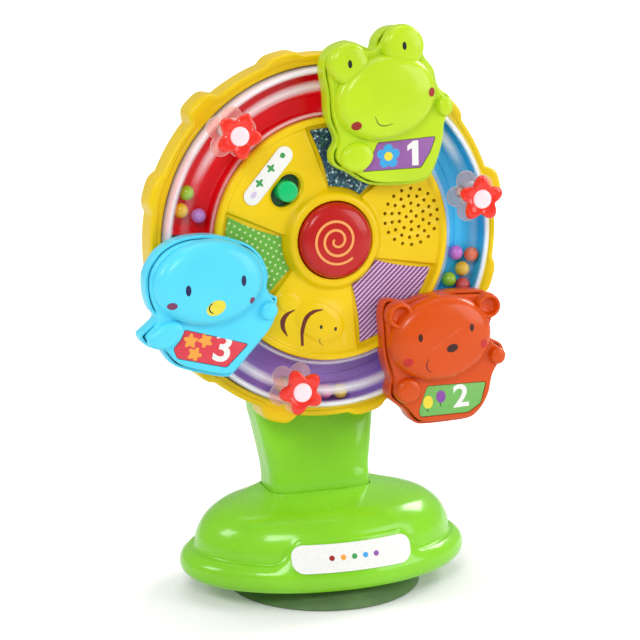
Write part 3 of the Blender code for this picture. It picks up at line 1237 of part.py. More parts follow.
def make_power_slider(wheel):
    under = PANEL_UNDER_LEVEL - SEAT_GAP
    skirt_low = under - KNOB_SKIRT_THICKNESS
    skirt = pill_outline(SLOT_LENGTH + 2 * SWITCH_TRAVEL + THIN_WALL, SLOT_WIDTH + THIN_WALL, SLOT_SPOT,
                         SLOT_ANGLE)
    knob = stacked("power_switch_knob", ((skirt, skirt_low), (skirt, under)), "knob_green")
    cap_top = KNOB_TOP_LEVEL
    profile = ((KNOB_RADIUS, skirt_low + FUSE_DEPTH / 2), (KNOB_RADIUS, cap_top - FUSE_DEPTH),
               (KNOB_RADIUS - FUSE_DEPTH, cap_top), (KNOB_RADIUS / 4, cap_top + FUSE_DEPTH / 4))
    join(knob, turned("cap", profile, None, ROUND_SEGMENTS, SLOT_SPOT))
    place_on_joint(knob, wheel, SLOT_SPOT)
    offset = polar(SWITCH_LABEL_OFFSET, SLOT_ANGLE + 90)
    label_centre = (SLOT_SPOT[0] + offset[0], SLOT_SPOT[1] + offset[1])
    pill = pill_outline(SWITCH_LABEL_LENGTH, SWITCH_LABEL_WIDTH, label_centre, SLOT_ANGLE)
    low = SECTOR_LEVEL + SEAT_GAP
    place(stacked("switch_label", ((pill, low), (pill, low + SWITCH_LABEL_THICKNESS)), "white_print"), wheel)


# Electronics
def make_speaker(wheel):
    top = PANEL_UNDER_LEVEL - SEAT_GAP
    profile = [(SPEAKER_RADIUS * reach, top + SPEAKER_DEPTH * rise) for reach, rise in SPEAKER_PROFILE_SHARES]
    place(turned("speaker", profile, "black_plastic", ROUND_SEGMENTS, SPEAKER_SPOT), wheel)


def make_circuit_board(wheel):
    """The board with what is soldered to it: slider switch, music switch, chip and tilt switch."""
    outline = box_outline(BOARD_LEFT, BOARD_RIGHT, BOARD_BOTTOM, BOARD_TOP)
    board = stacked("circuit_board", ((outline, BOARD_LEVEL), (outline, BOARD_TOP_LEVEL)), "board_green")
    fused = BOARD_TOP_LEVEL - FUSE_DEPTH
    slider = pill_outline(SLOT_LENGTH, SLOT_WIDTH / 2, SLOT_SPOT, SLOT_ANGLE, 2)
    slider_top = PANEL_UNDER_LEVEL - 2 * SEAT_GAP - KNOB_SKIRT_THICKNESS
    join(board, stacked("slider_switch", ((slider, fused), (slider, slider_top))))
    join(board, cylinder("music_switch", MUSIC_SWITCH_RADIUS, fused, BOARD_TOP_LEVEL + MUSIC_SWITCH_HEIGHT))
    join(board, dome("chip", (CHIP_U, CHIP_V), CHIP_RADIUS, CHIP_RADIUS, 0.0, fused,
                     BOARD_TOP_LEVEL + FUSE_DEPTH, SMALL_SEGMENTS))
    join(board, cylinder("tilt_switch", TILT_SWITCH_RADIUS, BOARD_LEVEL - TILT_SWITCH_HEIGHT,
                         BOARD_LEVEL + FUSE_DEPTH, (0.0, TILT_SWITCH_V)))
    place(board, wheel)


def make_batteries(wheel):
    outer = box_outline(-BOX_HALF_LENGTH, BOX_HALF_LENGTH, BATTERY_V - BOX_HALF_WIDTH,
                        BATTERY_V + BOX_HALF_WIDTH)
    inner = inset(outer, BOX_WALL * math.sqrt(2))
    low = WHEEL_FLOOR + SEAT_GAP
    box = stacked("battery_box", ((outer, low), (outer, BOX_TOP_LEVEL)), "black_plastic")
    boss_low = WHEEL_BACK + WELL_DEPTH + BOSS_WALL + SEAT_GAP
    boss_top = BOX_TOP_LEVEL - FUSE_DEPTH
    spot = door_screw_place()
    join(box, cylinder("boss", POST_RADIUS + SEAT_GAP + FUSE_DEPTH, boss_low, boss_top, spot))
    cut(box, cylinder("bore", BORE_RADIUS, boss_low - OVERRUN, boss_low + SCREW_LENGTH, spot))
    cut(box, stacked("hollow", ((inner, low - OVERRUN), (inner, BOX_TOP_LEVEL - BOX_WALL))))
    place(box, wheel)
    turn = Matrix.Rotation(math.radians(90), 4, "Y")
    half = BATTERY_LENGTH / 2
    for index, side in enumerate((-1, 1)):
        row = BATTERY_V - side * BATTERY_PITCH / 2
        profile = ((BATTERY_RADIUS, -half), (BATTERY_RADIUS, half - BATTERY_NUB),
                   (BATTERY_NUB_RADIUS, half - BATTERY_NUB), (BATTERY_NUB_RADIUS, half))
        battery = turned("battery_" + str(index + 1), profile, "battery_wrap")
        flip = Matrix.Rotation(math.pi if side < 0 else 0.0, 4, "Z")
        battery.data.transform(Matrix.Translation((0.0, row, BATTERY_LEVEL)) @ flip @ turn)
        place(battery, wheel)


def make_battery_door(wheel):
    outline = door_outline(SEAT_GAP)
    top = WHEEL_FLOOR
    well_top = WHEEL_BACK + WELL_DEPTH + BOSS_WALL
    door = stacked("battery_door", ((outline, WHEEL_BACK), (outline, top)), "yellow_plastic")
    spot = door_screw_place()
    join(door, cylinder("post", POST_RADIUS, WHEEL_BACK + FUSE_DEPTH, well_top, spot))
    cut(door, cylinder("well", HEAD_BORE_RADIUS, WHEEL_BACK - OVERRUN, WHEEL_BACK + WELL_DEPTH, spot))
    cut(door, cylinder("bore", BORE_RADIUS, WHEEL_BACK, well_top + OVERRUN, spot))
    place(door, wheel)
    make_screw("battery_door_screw", wheel, spot, WHEEL_BACK + WELL_DEPTH - SEAT_GAP - SCREW_HEAD_HEIGHT)


def build():
    clear_scene()
    frame = make_empty("stand_frame", Matrix.Translation((STAND_AXIS_X, 0.0, 0.0)))
    wheel = make_empty("wheel_frame", wheel_matrix())
    make_suction_cup(frame)
    make_base_plate(frame)
    make_base_shell(frame)
    make_base_screws(frame)
    make_base_label(frame)
    make_neck(frame)
    make_axle(wheel)
    make_back_shell(wheel)
    make_front_panel(wheel)
    make_patches(wheel)
    make_tracks(wheel)
    make_cover(wheel)
    make_flowers(wheel)
    make_beads(wheel)
    for critter in CRITTERS:
        make_tray(critter, wheel)
        make_button(critter, wheel)
    make_music_button(wheel)
    make_power_slider(wheel)
    make_speaker(wheel)
    make_circuit_board(wheel)
    make_batteries(wheel)
    make_battery_door(wheel)


build()
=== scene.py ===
"""A spinning ferris-wheel baby toy on a suction-cup stand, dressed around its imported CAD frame.

Lengths are in metres. Pieces on the wheel are built in the wheel's own frame: u to the
right, v up the tilted face, w forward from the rim's front lip.
"""
import json
import math

import bmesh
import bpy
from mathutils import Matrix, Vector
from mathutils.bvhtree import BVHTree


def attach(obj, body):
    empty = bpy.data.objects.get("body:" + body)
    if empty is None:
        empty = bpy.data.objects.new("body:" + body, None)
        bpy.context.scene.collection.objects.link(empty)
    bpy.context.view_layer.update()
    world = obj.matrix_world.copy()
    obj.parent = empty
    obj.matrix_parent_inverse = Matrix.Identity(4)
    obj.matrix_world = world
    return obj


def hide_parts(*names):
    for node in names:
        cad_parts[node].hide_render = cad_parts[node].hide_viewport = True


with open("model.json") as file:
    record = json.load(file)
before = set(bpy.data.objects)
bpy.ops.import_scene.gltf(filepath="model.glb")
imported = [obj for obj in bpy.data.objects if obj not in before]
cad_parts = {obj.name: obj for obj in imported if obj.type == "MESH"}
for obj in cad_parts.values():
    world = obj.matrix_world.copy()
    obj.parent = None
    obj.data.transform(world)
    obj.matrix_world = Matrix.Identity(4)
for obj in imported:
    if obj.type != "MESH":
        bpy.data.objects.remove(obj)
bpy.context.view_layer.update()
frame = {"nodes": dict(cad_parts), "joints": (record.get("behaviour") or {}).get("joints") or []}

# Clearances and walls, as in the CAD source
SEAT_GAP = 0.0003
RUN_GAP = 0.0004
OVERRUN = 0.001
SHELL_WALL = 0.002
THIN_WALL = 0.0012
BOSS_WALL = 0.0016
BORE_RADIUS = 0.0016
WELL_RADIUS = 0.0029
POST_RADIUS = 0.0045
WELL_DEPTH = 0.0055
SCREW_LENGTH = 0.010
FUSE_DEPTH = 0.0008

# Stand
STAND_AXIS_X = 0.0034
CUP_RADIUS = 0.047
CUP_RIM_WIDTH = 0.005
CUP_HEIGHT = 0.0092
CUP_DISH_DEPTH = 0.0066
CUP_STEM_RADIUS = 0.008
CUP_FLANGE_RADIUS = 0.0102
CUP_FLANGE_LOW = 0.0136
BASE_HALF_WIDTH = 0.070943
BASE_HALF_DEPTH = 0.046477
BASE_FLOOR_Z = 0.0095
BASE_HEIGHT = 0.0365
BASE_TOP_Z = BASE_FLOOR_Z + BASE_HEIGHT
HUMP_HALF_WIDTH = 0.041
HUMP_FADE = 0.0125
LABEL_LENGTH = 0.059
LABEL_HEIGHT = 0.0135
LABEL_CORNER = 0.0057
LABEL_THICKNESS = 0.0009
LABEL_SPOTS = ("red", "orange", "leaf", "blue", "purple")
SPOT_PITCH = 0.0055
SPOT_SIZE = 0.0026
SPOT_CORNER = 0.00129
NECK_FOOT_Z = 0.0169
NECK_TOP_Z = 0.197
NECK_HALF_WIDTH = 0.029
NECK_HALF_DEPTH = 0.0137
NECK_TOE = 0.0061
NECK_SQUARENESS = 5.0
NECK_BORE_RADIUS = 0.0043
NECK_BORE_REACH = 0.009
BACK_BORE_LEVELS = (-0.0348, -0.024)
HUB_HEIGHT = 0.172
HUB_FORWARD = 0.0061
WHEEL_TILT = math.radians(4)
WHEEL_BACK_GAP = 0.002

# Wheel
WHEEL_PHASE = 12.5
WHEEL_RADIUS = 0.0863
WHEEL_BACK = -0.016
WHEEL_FLOOR = WHEEL_BACK + SHELL_WALL
BUMP_COUNT = 12
BIG_BUMP = (0.005, 0.21)
SMALL_BUMP = (0.0026, 0.22)
BUMP_ROUNDNESS = 1.3
BUMP_LIFT = 0.0007
BUMP_FADE = 0.003
RIM_SEGMENTS = 480
RIM_BACK_EDGE = 0.0016
RIM_FRONT_EDGE = 0.0030
RIM_FLOOR_FILLET = 0.001
LIP_RADIUS = 0.0813
LIP_THICKNESS = 0.0024
LIP_GROOVE = ((0.0024, 0.0, 0.6, 0.0005), (0.0019, -0.0006, 0.2, 0.0003), (0.0013, -0.0002, 0, 0.0003),
              (0.0, -0.0002, 0, 0.0005))
HUB_HOLE = 0.0044
HUB_INNER_LEVEL = -0.0072
DOOR_OPENING = (-0.02415, 0.02415, -0.0526, -0.0199)
SHELL_SCREW_DISTANCE = 0.05
SHELL_SCREW_ANGLES = (60.0, 180.0, 320.0)
PANEL_RADIUS = 0.0575
PANEL_RIM_WIDTH = 0.003
PANEL_RIM_LEVEL = 0.009
RECESS_LEVEL = 0.0054
SECTOR_LEVEL = 0.0075
PANEL_UNDER_LEVEL = RECESS_LEVEL - SHELL_WALL
PANEL_RIM_SLOPE = (-0.0008, 0.0004)
PANEL_EDGE = 0.0011
PANEL_FILLETS = (0.0006, 0.0007, 0.0006)
COLLAR_LEVEL = 0.0115
COLLAR_RADIUS = 0.024
COLLAR_SHOULDER = 0.0022
COLLAR_STEP = (-0.0006, 0.0004)
COLLAR_STEP_DROPS = (0.0004, 0.0012)
COLLAR_EDGES = (0.0009, 0.0016, 0.0009)
RECESS_INNER_ANGLE = 22.0
RECESS_OUTER_ANGLE = 31.0
SECTOR_LENGTH = PANEL_RADIUS - PANEL_RIM_WIDTH - COLLAR_RADIUS
SECTOR_CROWN = 0.10
STEP_ANGLE = 1.6
BEE_SINK = 0.0002
BEE_FORMS = ((0.496, -0.15, 0.46, 0.32, -12.0, 0.0019), (0.31, 0.42, 0.22, 0.19, 0.0, 0.0014))
PATCH_THICKNESS = 0.0006
PATCH_MARGIN = 0.0007
CLOTH_EDGE = 0.00018
CLOTH_RIPPLE = 0.00005
STRIPE_TURN = 48.0
STRIPE_PITCH = 0.00175
RIBBON_THREAD = 0.00095
DOT_TURN = 33.0
DOT_PITCH = 0.0030
SATIN_THREAD = 0.0006
SPEAKER_CENTRE = (0.03976, 0.00769)
SPEAKER_HOLE_RADIUS = 0.00088
SPEAKER_RINGS = ((0.0025, 4), (0.0063, 10), (0.0099, 15), (0.0134, 18))
SLOT_CENTRE = (-0.02218, 0.0243)
SLOT_ANGLE = 48.6
SLOT_LENGTH = 0.0168
SLOT_WIDTH = 0.0112
SLOT_MID_CHAMFER = 0.0011
SLOT_CHAMFER = 0.0018
SLOT_CHAMFER_DEPTH = 0.0007
KNOB_RADIUS = 0.0049
KNOB_TOP_LEVEL = 0.0106
KNOB_EDGE = 0.0011
KNOB_MIDDLE = (0.0006, 0.0002)
SWITCH_TRAVEL = 0.003
SWITCH_LABEL_OFFSET = 0.0118
SWITCH_LABEL_LENGTH = 0.0325
SWITCH_LABEL_WIDTH = 0.0085
SWITCH_LABEL_THICKNESS = 0.0006
SWITCH_MARKS = ((0.0115, 0.0006), (0.0034, 0.0013), (-0.0053, 0.0013))
SWITCH_DOT_RADIUS = 0.0013
SWITCH_CROSS_RADIUS = 0.0023
SWITCH_PALE_SHIFT = -0.0112
SWITCH_PALE_RADII = (0.0018, 0.0012)
COVER_RADIUS = 0.0809
COVER_LEVEL = 0.0063
COVER_WALL = 0.0013
COVER_SKIRT = 0.0008
COVER_EDGE = 0.0024
COVER_INNER_EDGE = 0.0008
COVER_FILLET = 0.0014
TRACK_WALL = 0.0009
TRACK_INNER = 0.0579
TRACK_OUTER = 0.0798
TRACK_TOP_LEVEL = 0.0047
TRACK_FLOOR_LEVEL = -0.005
TRACK_FLOOR_THICKNESS = 0.0014
TRACK_HALF_ANGLE = 42.0
TRACK_END_ANGLE = 1.2
TRACK_RIB = 0.0004
TRACK_RIB_SHARES = ((0.62, 0.0), (0.60, 1.0), (0.40, 1.0), (0.38, 0.0))
TRACK_FILLET = ((0.0, 0.0012), (0.0004, 0.0004), (0.0012, 0.0))
BEAD_RADIUS = 0.0036
BEAD_SEAM = 0.00005
BEAD_LEVEL = -0.0009
BEAD_END_SHARE = 0.03
FLOWER_DISTANCE = 0.072
FLOWER_FOOT_RADIUS = 0.0124
FLOWER_STAR_RADIUS = 0.01113
FLOWER_CORE_RADIUS = 0.004558
FLOWER_CORE_DEPTH = 0.0016
FLOWER_HEIGHT = 0.0163
FLOWER_FOOT_TURN = 24.0
FLOWER_STAR_TURN = 3.0
LED_HOLE_RADIUS = 0.0029
TRAY_LOW_LEVEL = 0.0066
TRAY_LEVEL = 0.0093
TRAY_FLOOR_LEVEL = 0.0109
TRAY_TOP_LEVEL = 0.0155
TRAY_EDGES = (0.0008, 0.0005)
TRAY_PEG_DISTANCE = 0.069
TRAY_PEG_ANGLE = 8.0
TRAY_PEG_LENGTH = 0.009
TRAY_PEG_RADIUS = 0.0013
BUTTON_INSET = 0.0016
BUTTON_SKIRT_LEVEL = 0.0132
BUTTON_PLATE_LEVEL = 0.0192
BUTTON_EDGE = 0.0011
BUTTON_LOW_EDGE = 0.0003
LABEL_EDGE = 0.0001
HEAD_LEVEL = 0.0272
EAR_LEVEL = 0.0240
HAND_LEVEL = 0.0226
NUMBER_LABEL_THICKNESS = 0.0007
NUMBER_LABEL_RECESS = 0.0012
NUMBER_LABEL_CORNER = 0.0012
NUMBER_LEVEL = BUTTON_PLATE_LEVEL - NUMBER_LABEL_RECESS + SEAT_GAP + NUMBER_LABEL_THICKNESS
DOME_RADIUS = 0.0180
DOME_LEVEL = 0.0163
DOME_SKIRT_LEVEL = 0.0098
DOME_FLANGE = 0.0016
DOME_FLANGE_THICKNESS = 0.0011
DOME_HOLLOW_RADIUS = 0.016
DOME_ROOF_RADIUS = 0.0126
DOME_ROOF_LEVEL = 0.0134
DOME_PIN_RADIUS = 0.002
DOME_PIN_LEVEL = 0.0013
SPIRAL_INNER = 0.0012
SPIRAL_OUTER = 0.0115
SPIRAL_START = 150.0
SPIRAL_CENTRE = (-0.0010, 0.0005)
SPIRAL_TURNS = 2.45
SPIRAL_WIDTH = 0.0012
SPIRAL_RISE = 0.00025
INK_LIFT = 0.00006
DIGIT_STRETCH = (1.3, 1.18)
DIGIT_WEIGHT_SHARE = 0.022
ONE_OUTLINE = ((-0.0013, -0.0058), (0.0019, -0.0058), (0.0019, 0.0058), (-0.0005, 0.0058),
               (-0.0036, 0.0036), (-0.0036, 0.0012), (-0.0013, 0.0025))
INK_SINK = 0.00012

# The cover's painted highlight rings, and how they fade where the beads show through it, in heights and
# shares
COVER_HIGHLIGHT_RINGS = ((0.0794, 0.0018, 0.85, 0.75), (0.0722, 0.0030, 0.50, 0.0), (0.0592, 0.0010, 0.4, 0.6))
HIGHLIGHT_BREAK = (0.030, 0.046, 0.10, 1.0)

# Outlines, as shares of each animal's half width and half height
FROG_OUTLINE_SHARES = (
    (-1.0, 0.50), (-0.93, 0.70), (-0.78, 0.80), (-0.56, 0.84), (-0.36, 0.77), (-0.22, 0.725),
    (-0.16, 0.86), (-0.02, 0.97), (0.18, 1.0), (0.40, 0.96), (0.56, 0.83), (0.57, 0.62),
    (0.72, 0.44), (0.80, 0.20), (0.97, 0.08), (1.0, -0.08), (0.89, -0.22), (0.85, -0.47),
    (0.76, -0.72), (0.62, -0.94), (0.40, -1.0), (0.0, -1.0), (-0.35, -0.96), (-0.62, -0.82),
    (-0.86, -0.70), (-0.90, -0.54), (-0.82, -0.38), (-0.93, -0.12), (-0.95, 0.20))
BEAR_OUTLINE_SHARES = (
    (-0.98, 0.74), (-0.93, 0.93), (-0.81, 0.96), (-0.53, 0.91), (-0.31, 0.965), (0.20, 1.0),
    (0.60, 0.98), (0.77, 0.93), (0.885, 0.84), (0.905, 0.72), (0.86, 0.59), (0.77, 0.50),
    (0.79, 0.35), (0.77, 0.22), (0.88, 0.18), (0.975, 0.10), (1.0, -0.02), (0.945, -0.16),
    (0.84, -0.25), (0.79, -0.41), (0.75, -0.60), (0.66, -0.78), (0.54, -0.91), (0.40, -0.98),
    (0.06, -1.0), (-0.31, -1.0), (-0.45, -0.975), (-0.55, -0.885), (-0.63, -0.76),
    (-0.83, -0.59), (-0.875, -0.51), (-0.87, -0.375), (-0.84, -0.265), (-0.90, -0.08),
    (-0.945, 0.12), (-0.97, 0.50))
BIRD_OUTLINE_SHARES = (
    (-0.90, 0.42), (-0.87, 0.57), (-0.80, 0.69), (-0.68, 0.83), (-0.51, 0.93), (-0.30, 0.99),
    (-0.04, 1.0), (0.18, 0.975), (0.41, 0.905), (0.61, 0.82), (0.755, 0.685), (0.84, 0.53),
    (0.88, 0.36), (0.857, 0.215), (0.90, 0.11), (1.0, 0.05), (0.99, -0.07), (0.96, -0.245),
    (0.895, -0.37), (0.78, -0.50), (0.56, -0.73), (0.32, -0.97), (0.20, -1.0), (-0.03, -0.95),
    (-0.33, -0.86), (-0.53, -0.77), (-0.64, -0.64), (-0.71, -0.52), (-0.85, -0.50),
    (-0.95, -0.43), (-1.0, -0.335), (-0.975, -0.28), (-0.88, -0.21), (-0.76, -0.09),
    (-0.83, 0.02), (-0.885, 0.19))
CRITTERS = {
    "frog": {
        "centre": (0.0262, 0.06155), "half": (0.0317, 0.0370), "direction": 66.5,
        "outline": FROG_OUTLINE_SHARES, "head": (-0.10, 0.135, 0.795, 0.53, 14.0),
        "ears": ((-0.66, 0.57, 0.32), (0.19, 0.75, 0.33)), "dished": False,
        "hands": ((-0.55, -0.60, 0.26, 0.19, 20.0), (0.83, -0.03, 0.13, 0.13, 0.0)),
        "label": ((-0.22, -0.44), (0.69, -0.41), (0.60, -0.60), (0.45, -0.785), (-0.47, -0.785),
                  (-0.34, -0.66)),
    },
    "bear": {
        "centre": (0.0514, -0.05975), "half": (0.0316, 0.0314), "direction": -50.0,
        "outline": BEAR_OUTLINE_SHARES, "head": (-0.10, 0.34, 0.825, 0.65, 6.0),
        "ears": ((-0.75, 0.74, 0.21), (0.67, 0.77, 0.195)), "dished": True,
        "hands": ((-0.62, -0.43, 0.21, 0.20, 20.0), (0.83, -0.02, 0.13, 0.14, 0.0)),
        "label": ((-0.30, -0.40), (0.65, -0.42), (0.56, -0.74), (0.36, -0.86), (-0.42, -0.86),
                  (-0.44, -0.77)),
    },
    "bird": {
        "centre": (-0.0641, -0.02545), "half": (0.0332, 0.0334), "direction": 202.0,
        "outline": BIRD_OUTLINE_SHARES, "head": (-0.035, 0.37, 0.79, 0.595, 4.0),
        "ears": (), "dished": False,
        "hands": ((-0.66, -0.32, 0.28, 0.17, 25.0), (0.83, -0.10, 0.13, 0.14, -30.0)),
        "label": ((-0.39, -0.27), (0.52, -0.55), (0.20, -0.845), (-0.51, -0.655), (-0.56, -0.52),
                  (-0.44, -0.40)),
    },
}
TRACKS = {"red": 120.0, "purple": 240.0, "blue": 0.0}
FLOWER_NAMES = {"red": "top_left", "purple": "bottom", "blue": "right"}
BEADS = {
    "red": (("green", (160, 205, 40), 159.3, 0.80), ("yellow", (240, 195, 40), 166.1, 0.84),
            ("purple", (200, 140, 215), 166.9, 0.13)),
    "blue": (("purple", (205, 120, 205), -11.1, 0.34), ("orange", (240, 105, 45), -11.0, 0.98),
             ("yellow", (235, 190, 45), -16.9, 0.74), ("green", (160, 205, 45), -22.5, 0.35),
             ("red", (222, 50, 55), -22.7, 0.96)),
    "purple": (("yellow", (232, 200, 60), 273.9, 0.98), ("pink", (226, 120, 170), 268.1, 0.92),
               ("green", (160, 195, 60), 251.0, 0.86)),
}

# Base profiles, neck sections, rounded forms and the flowers' profiles, as shares
BASE_PLAIN_SHARES = (
    (0.955, 0.0), (0.99, 0.07), (1.0, 0.165), (0.985, 0.26), (0.94, 0.335), (0.902, 0.36),
    (0.885, 0.53), (0.83, 0.72), (0.73, 0.87), (0.61, 0.945))
BASE_HUMP_SHARES = (
    (0.955, 0.0), (0.99, 0.07), (1.0, 0.165), (0.99, 0.245), (0.932, 0.44), (0.875, 0.64),
    (0.850, 0.68), (0.81, 0.76), (0.73, 0.87), (0.61, 0.945))
NECK_SECTION_SHARES = (
    (0.0, 0.875, 0.985, 0.67), (0.1625, 0.875, 0.985, 1.0), (0.215, 0.88, 1.0, 0.82),
    (0.271, 0.935, 1.0, 0.62), (0.327, 0.995, 1.0, 0.33), (0.382, 1.045, 1.0, 0.05),
    (0.516, 1.06, 0.93, 0.0), (0.683, 1.0, 0.82, 0.0), (0.822, 0.91, 0.73, 0.0),
    (0.905, 0.77, 0.69, 0.0), (0.956, 0.56, 0.60, -0.15), (0.985, 0.33, 0.46, -0.35),
    (1.0, 0.12, 0.25, -0.6))
CUP_DISH_SHARES = ((0.06, 1.0), (0.25, 0.98), (0.55, 0.86), (0.82, 0.50), (1.0, 0.03))
CUP_BACK_SHARES = ((1.0, 0.10), (0.93, 0.42), (0.80, 0.80), (0.62, 1.0))
DOME_SHARES = ((1.0, 0.0), (0.985, 0.36), (0.93, 0.64), (0.80, 0.85), (0.52, 0.97), (0.04, 1.0))
LOW_DOME_SHARES = ((1.0, 0.0), (0.95, 0.58), (0.78, 0.88), (0.40, 0.99), (0.05, 1.0))
SOFT_DOME_SHARES = ((1.0, 0.0), (0.93, 0.22), (0.80, 0.55), (0.58, 0.83), (0.30, 0.96), (0.04, 1.0))
DISHED_SHARES = ((1.0, 0.0), (0.98, 0.55), (0.90, 0.90), (0.80, 1.0), (0.68, 0.92), (0.58, 0.62),
                 (0.46, 0.46), (0.05, 0.40))
FLOWER_FOOT_SHARES = (((0.95, 0.0), 0), ((1.0, 0.04), 0.02), ((1.0, 0.16), 0.08), ((0.60, 0.26), 0.06),
                      ((0.56, 0.62), 0.05), ((0.50, 0.62), 0))
FLOWER_STAR_SHARES = (
    (0.60, 0.62, 0.20), (0.78, 0.66, 0.26), (0.94, 0.74, 0.32), (1.0, 0.82, 0.34), (0.99, 0.88, 0.34),
    (0.93, 0.93, 0.33), (0.80, 0.95, 0.30), (0.62, 0.94, 0.22), (0.50, 0.92, 0.10))

# The base label's slope
LABEL_LOW_SHARES, LABEL_HIGH_SHARES = BASE_HUMP_SHARES[3], BASE_HUMP_SHARES[5]
LABEL_RUN = BASE_HALF_DEPTH * (LABEL_LOW_SHARES[0] - LABEL_HIGH_SHARES[0])
LABEL_CLIMB = BASE_HEIGHT * (LABEL_HIGH_SHARES[1] - LABEL_LOW_SHARES[1])
LABEL_SLOPE = math.hypot(LABEL_RUN, LABEL_CLIMB)

# The photograph's view
PHOTO_PIXELS = 640
VIEW_AZIMUTH = math.radians(19.92)
VIEW_ELEVATION = math.radians(14.74)
VIEW_DISTANCE = 1.3622
VIEW_FOCAL_PIXELS = 2863
VIEW_SIDE_SHIFT = -0.00119
VIEW_HEIGHT = 0.13001
SENSOR_MM = 36.0

# Light: each lamp's place, target height, size and power, and how the floor turns white with distance
LAMPS = {
    "key": ((-0.8, -1.3, 1.25), 0.12, (0.6, 0.6), 11.0),
    "fill": ((1.1, -1.0, 0.6), 0.10, (0.9, 0.9), 9.0),
    "top": ((0.0, 0.3, 1.5), 0.1, (1.0, 1.0), 5.0),
    "rear": ((1.15, 0.4, 0.95), 0.08, (0.55, 0.4), 8.0),
    "side": ((-1.2, 0.15, 0.9), 0.08, (0.45, 0.45), 5.0),
}
WHITE = (1.0, 1.0, 1.0, 1.0)
WORLD_LIGHT = 0.40
FLOOR_SIZE = 12.0
FLOOR_GREY = (0.86, 0.86, 0.86, 1.0)
FLOOR_GLOW = (0.06, 0.5, 0.12, 1.0)

SPIN = next(joint for joint in frame["joints"] if joint["name"] == "wheel_spin")
NORMAL = Vector(SPIN["axis"]).normalized()
WHEEL = Matrix.Translation(SPIN["pos_m"]) @ Matrix((
    (1.0, 0.0, NORMAL.x), (0.0, NORMAL.z, NORMAL.y), (0.0, -NORMAL.y, NORMAL.z))).to_4x4()
STAND = Matrix.Translation((STAND_AXIS_X, 0.0, 0.0))


# Materials
def linear(rgb):
    """Display colour, 0 to 255, as the linear colour that a shader takes."""
    shares = [value / 255 for value in rgb]
    return tuple(s / 12.92 if s <= 0.04045 else ((s + 0.055) / 1.055) ** 2.4 for s in shares)


def shade(colour, factor):
    return tuple(min(value * factor, 1.0) for value in colour)


class Nodes:
    """A small helper around the node tree of a material or a world."""

    def __init__(self, owner):
        owner.use_nodes = True
        self.owner, self.tree = owner, owner.node_tree
        self.shader = self.tree.nodes.get("Principled BSDF")
        self.place = self.add("TexCoord").outputs["Object"]

    def fill(self, node, inputs):
        """Sets or links a node's inputs, each known by its number or its name."""
        for key, value in inputs:
            socket = node.inputs[key.replace("_", " ") if isinstance(key, str) else key]
            if isinstance(value, bpy.types.NodeSocket):
                self.tree.links.new(value, socket)
            else:
                socket.default_value = value
        return node

    def add(self, kind, *values, settings=None, **named):
        node = self.tree.nodes.new("ShaderNode" + kind)
        for key, value in (settings or {}).items():
            setattr(node, key, value)
        return self.fill(node, [*enumerate(values), *named.items()])

    def noise(self, scale, detail=2.0, roughness=0.5):
        return self.add("TexNoise", Vector=self.place, Scale=scale, Detail=detail,
                        Roughness=roughness).outputs["Fac"]

    def ramp(self, value, low, high, to_low=0.0, to_high=1.0):
        return self.add("MapRange", value, low, high, to_low, to_high).outputs[0]

    def cloud(self, scale, low, high, to_low=0.0, to_high=1.0, detail=2.0):
        """Noise, stretched between two of its levels."""
        return self.ramp(self.noise(scale, detail), low, high, to_low, to_high)

    def mix(self, share, first, second):
        ends = [(*end, 1.0) if isinstance(end, tuple) else end for end in (first, second)]
        node = self.add("Mix", settings={"data_type": "RGBA"})
        return self.fill(node, zip((0, 6, 7), (share, *ends))).outputs[2]

    def math(self, operation, first, second=0.0):
        return self.add("Math", first, second, settings={"operation": operation}).outputs[0]

    def length(self, vector):
        return self.add("VectorMath", vector, settings={"operation": "LENGTH"}).outputs["Value"]

    def bump(self, height, strength, distance):
        return self.add("Bump", Strength=strength, Distance=distance, Height=height).outputs["Normal"]

    def set(self, **inputs):
        """Fills inputs of the material's main shader."""
        self.fill(self.shader, inputs.items())
        return self.owner

    def show(self, source):
        """Makes a node's shader the whole look."""
        output = next(node for node in self.tree.nodes if node.type.startswith("OUTPUT"))
        self.fill(output, [("Surface", source.outputs[0])])
        return self.owner


def new_look(name):
    return Nodes(bpy.data.materials.new(name))


def plastic(name, rgb, roughness=0.3, coat=0.35, density=1.0):
    """Moulded plastic: a slightly uneven colour, paler convex edges, fine surface waviness."""
    look, colour = new_look(name), linear(rgb)
    broad = look.cloud(22.0 * density, 0.3, 0.7, detail=3.0)
    # Convex edges are made paler
    convex_edges = look.ramp(look.add("NewGeometry").outputs["Pointiness"], 0.53, 0.62, 0.0, 0.22)
    base = look.mix(broad, shade(colour, 0.90), shade(colour, 1.06))
    return look.set(
        Base_Color=look.mix(convex_edges, base, shade([value + 0.12 for value in colour], 1.15)),
        Roughness=look.cloud(140.0 * density, 0.25, 0.75, roughness - 0.04, roughness + 0.06, 3.0),
        Coat_Weight=coat, Coat_Roughness=0.1, Specular_IOR_Level=0.26,
        Normal=look.bump(look.noise(520.0 * density, 4.0, 0.6), 0.018, 0.0004))


def rubber(name, rgb):
    """Soft rubber: streaky, dusted with fine pale specks."""
    look, colour = new_look(name), linear(rgb)
    streaks = look.ramp(look.noise(38.0, 5.0, 0.65), 0.3, 0.7)
    base = look.mix(streaks, shade(colour, 0.78), shade(colour, 1.18))
    return look.set(
        Base_Color=look.mix(look.cloud(900.0, 0.62, 0.78, 0.0, 0.35), base, shade(colour, 1.9)),
        Roughness=look.ramp(streaks, 0.0, 1.0, 0.34, 0.48), Coat_Weight=0.15, Transmission_Weight=0.12,
        IOR=1.42, Normal=look.bump(look.noise(700.0, 4.0, 0.7), 0.12, 0.0003))


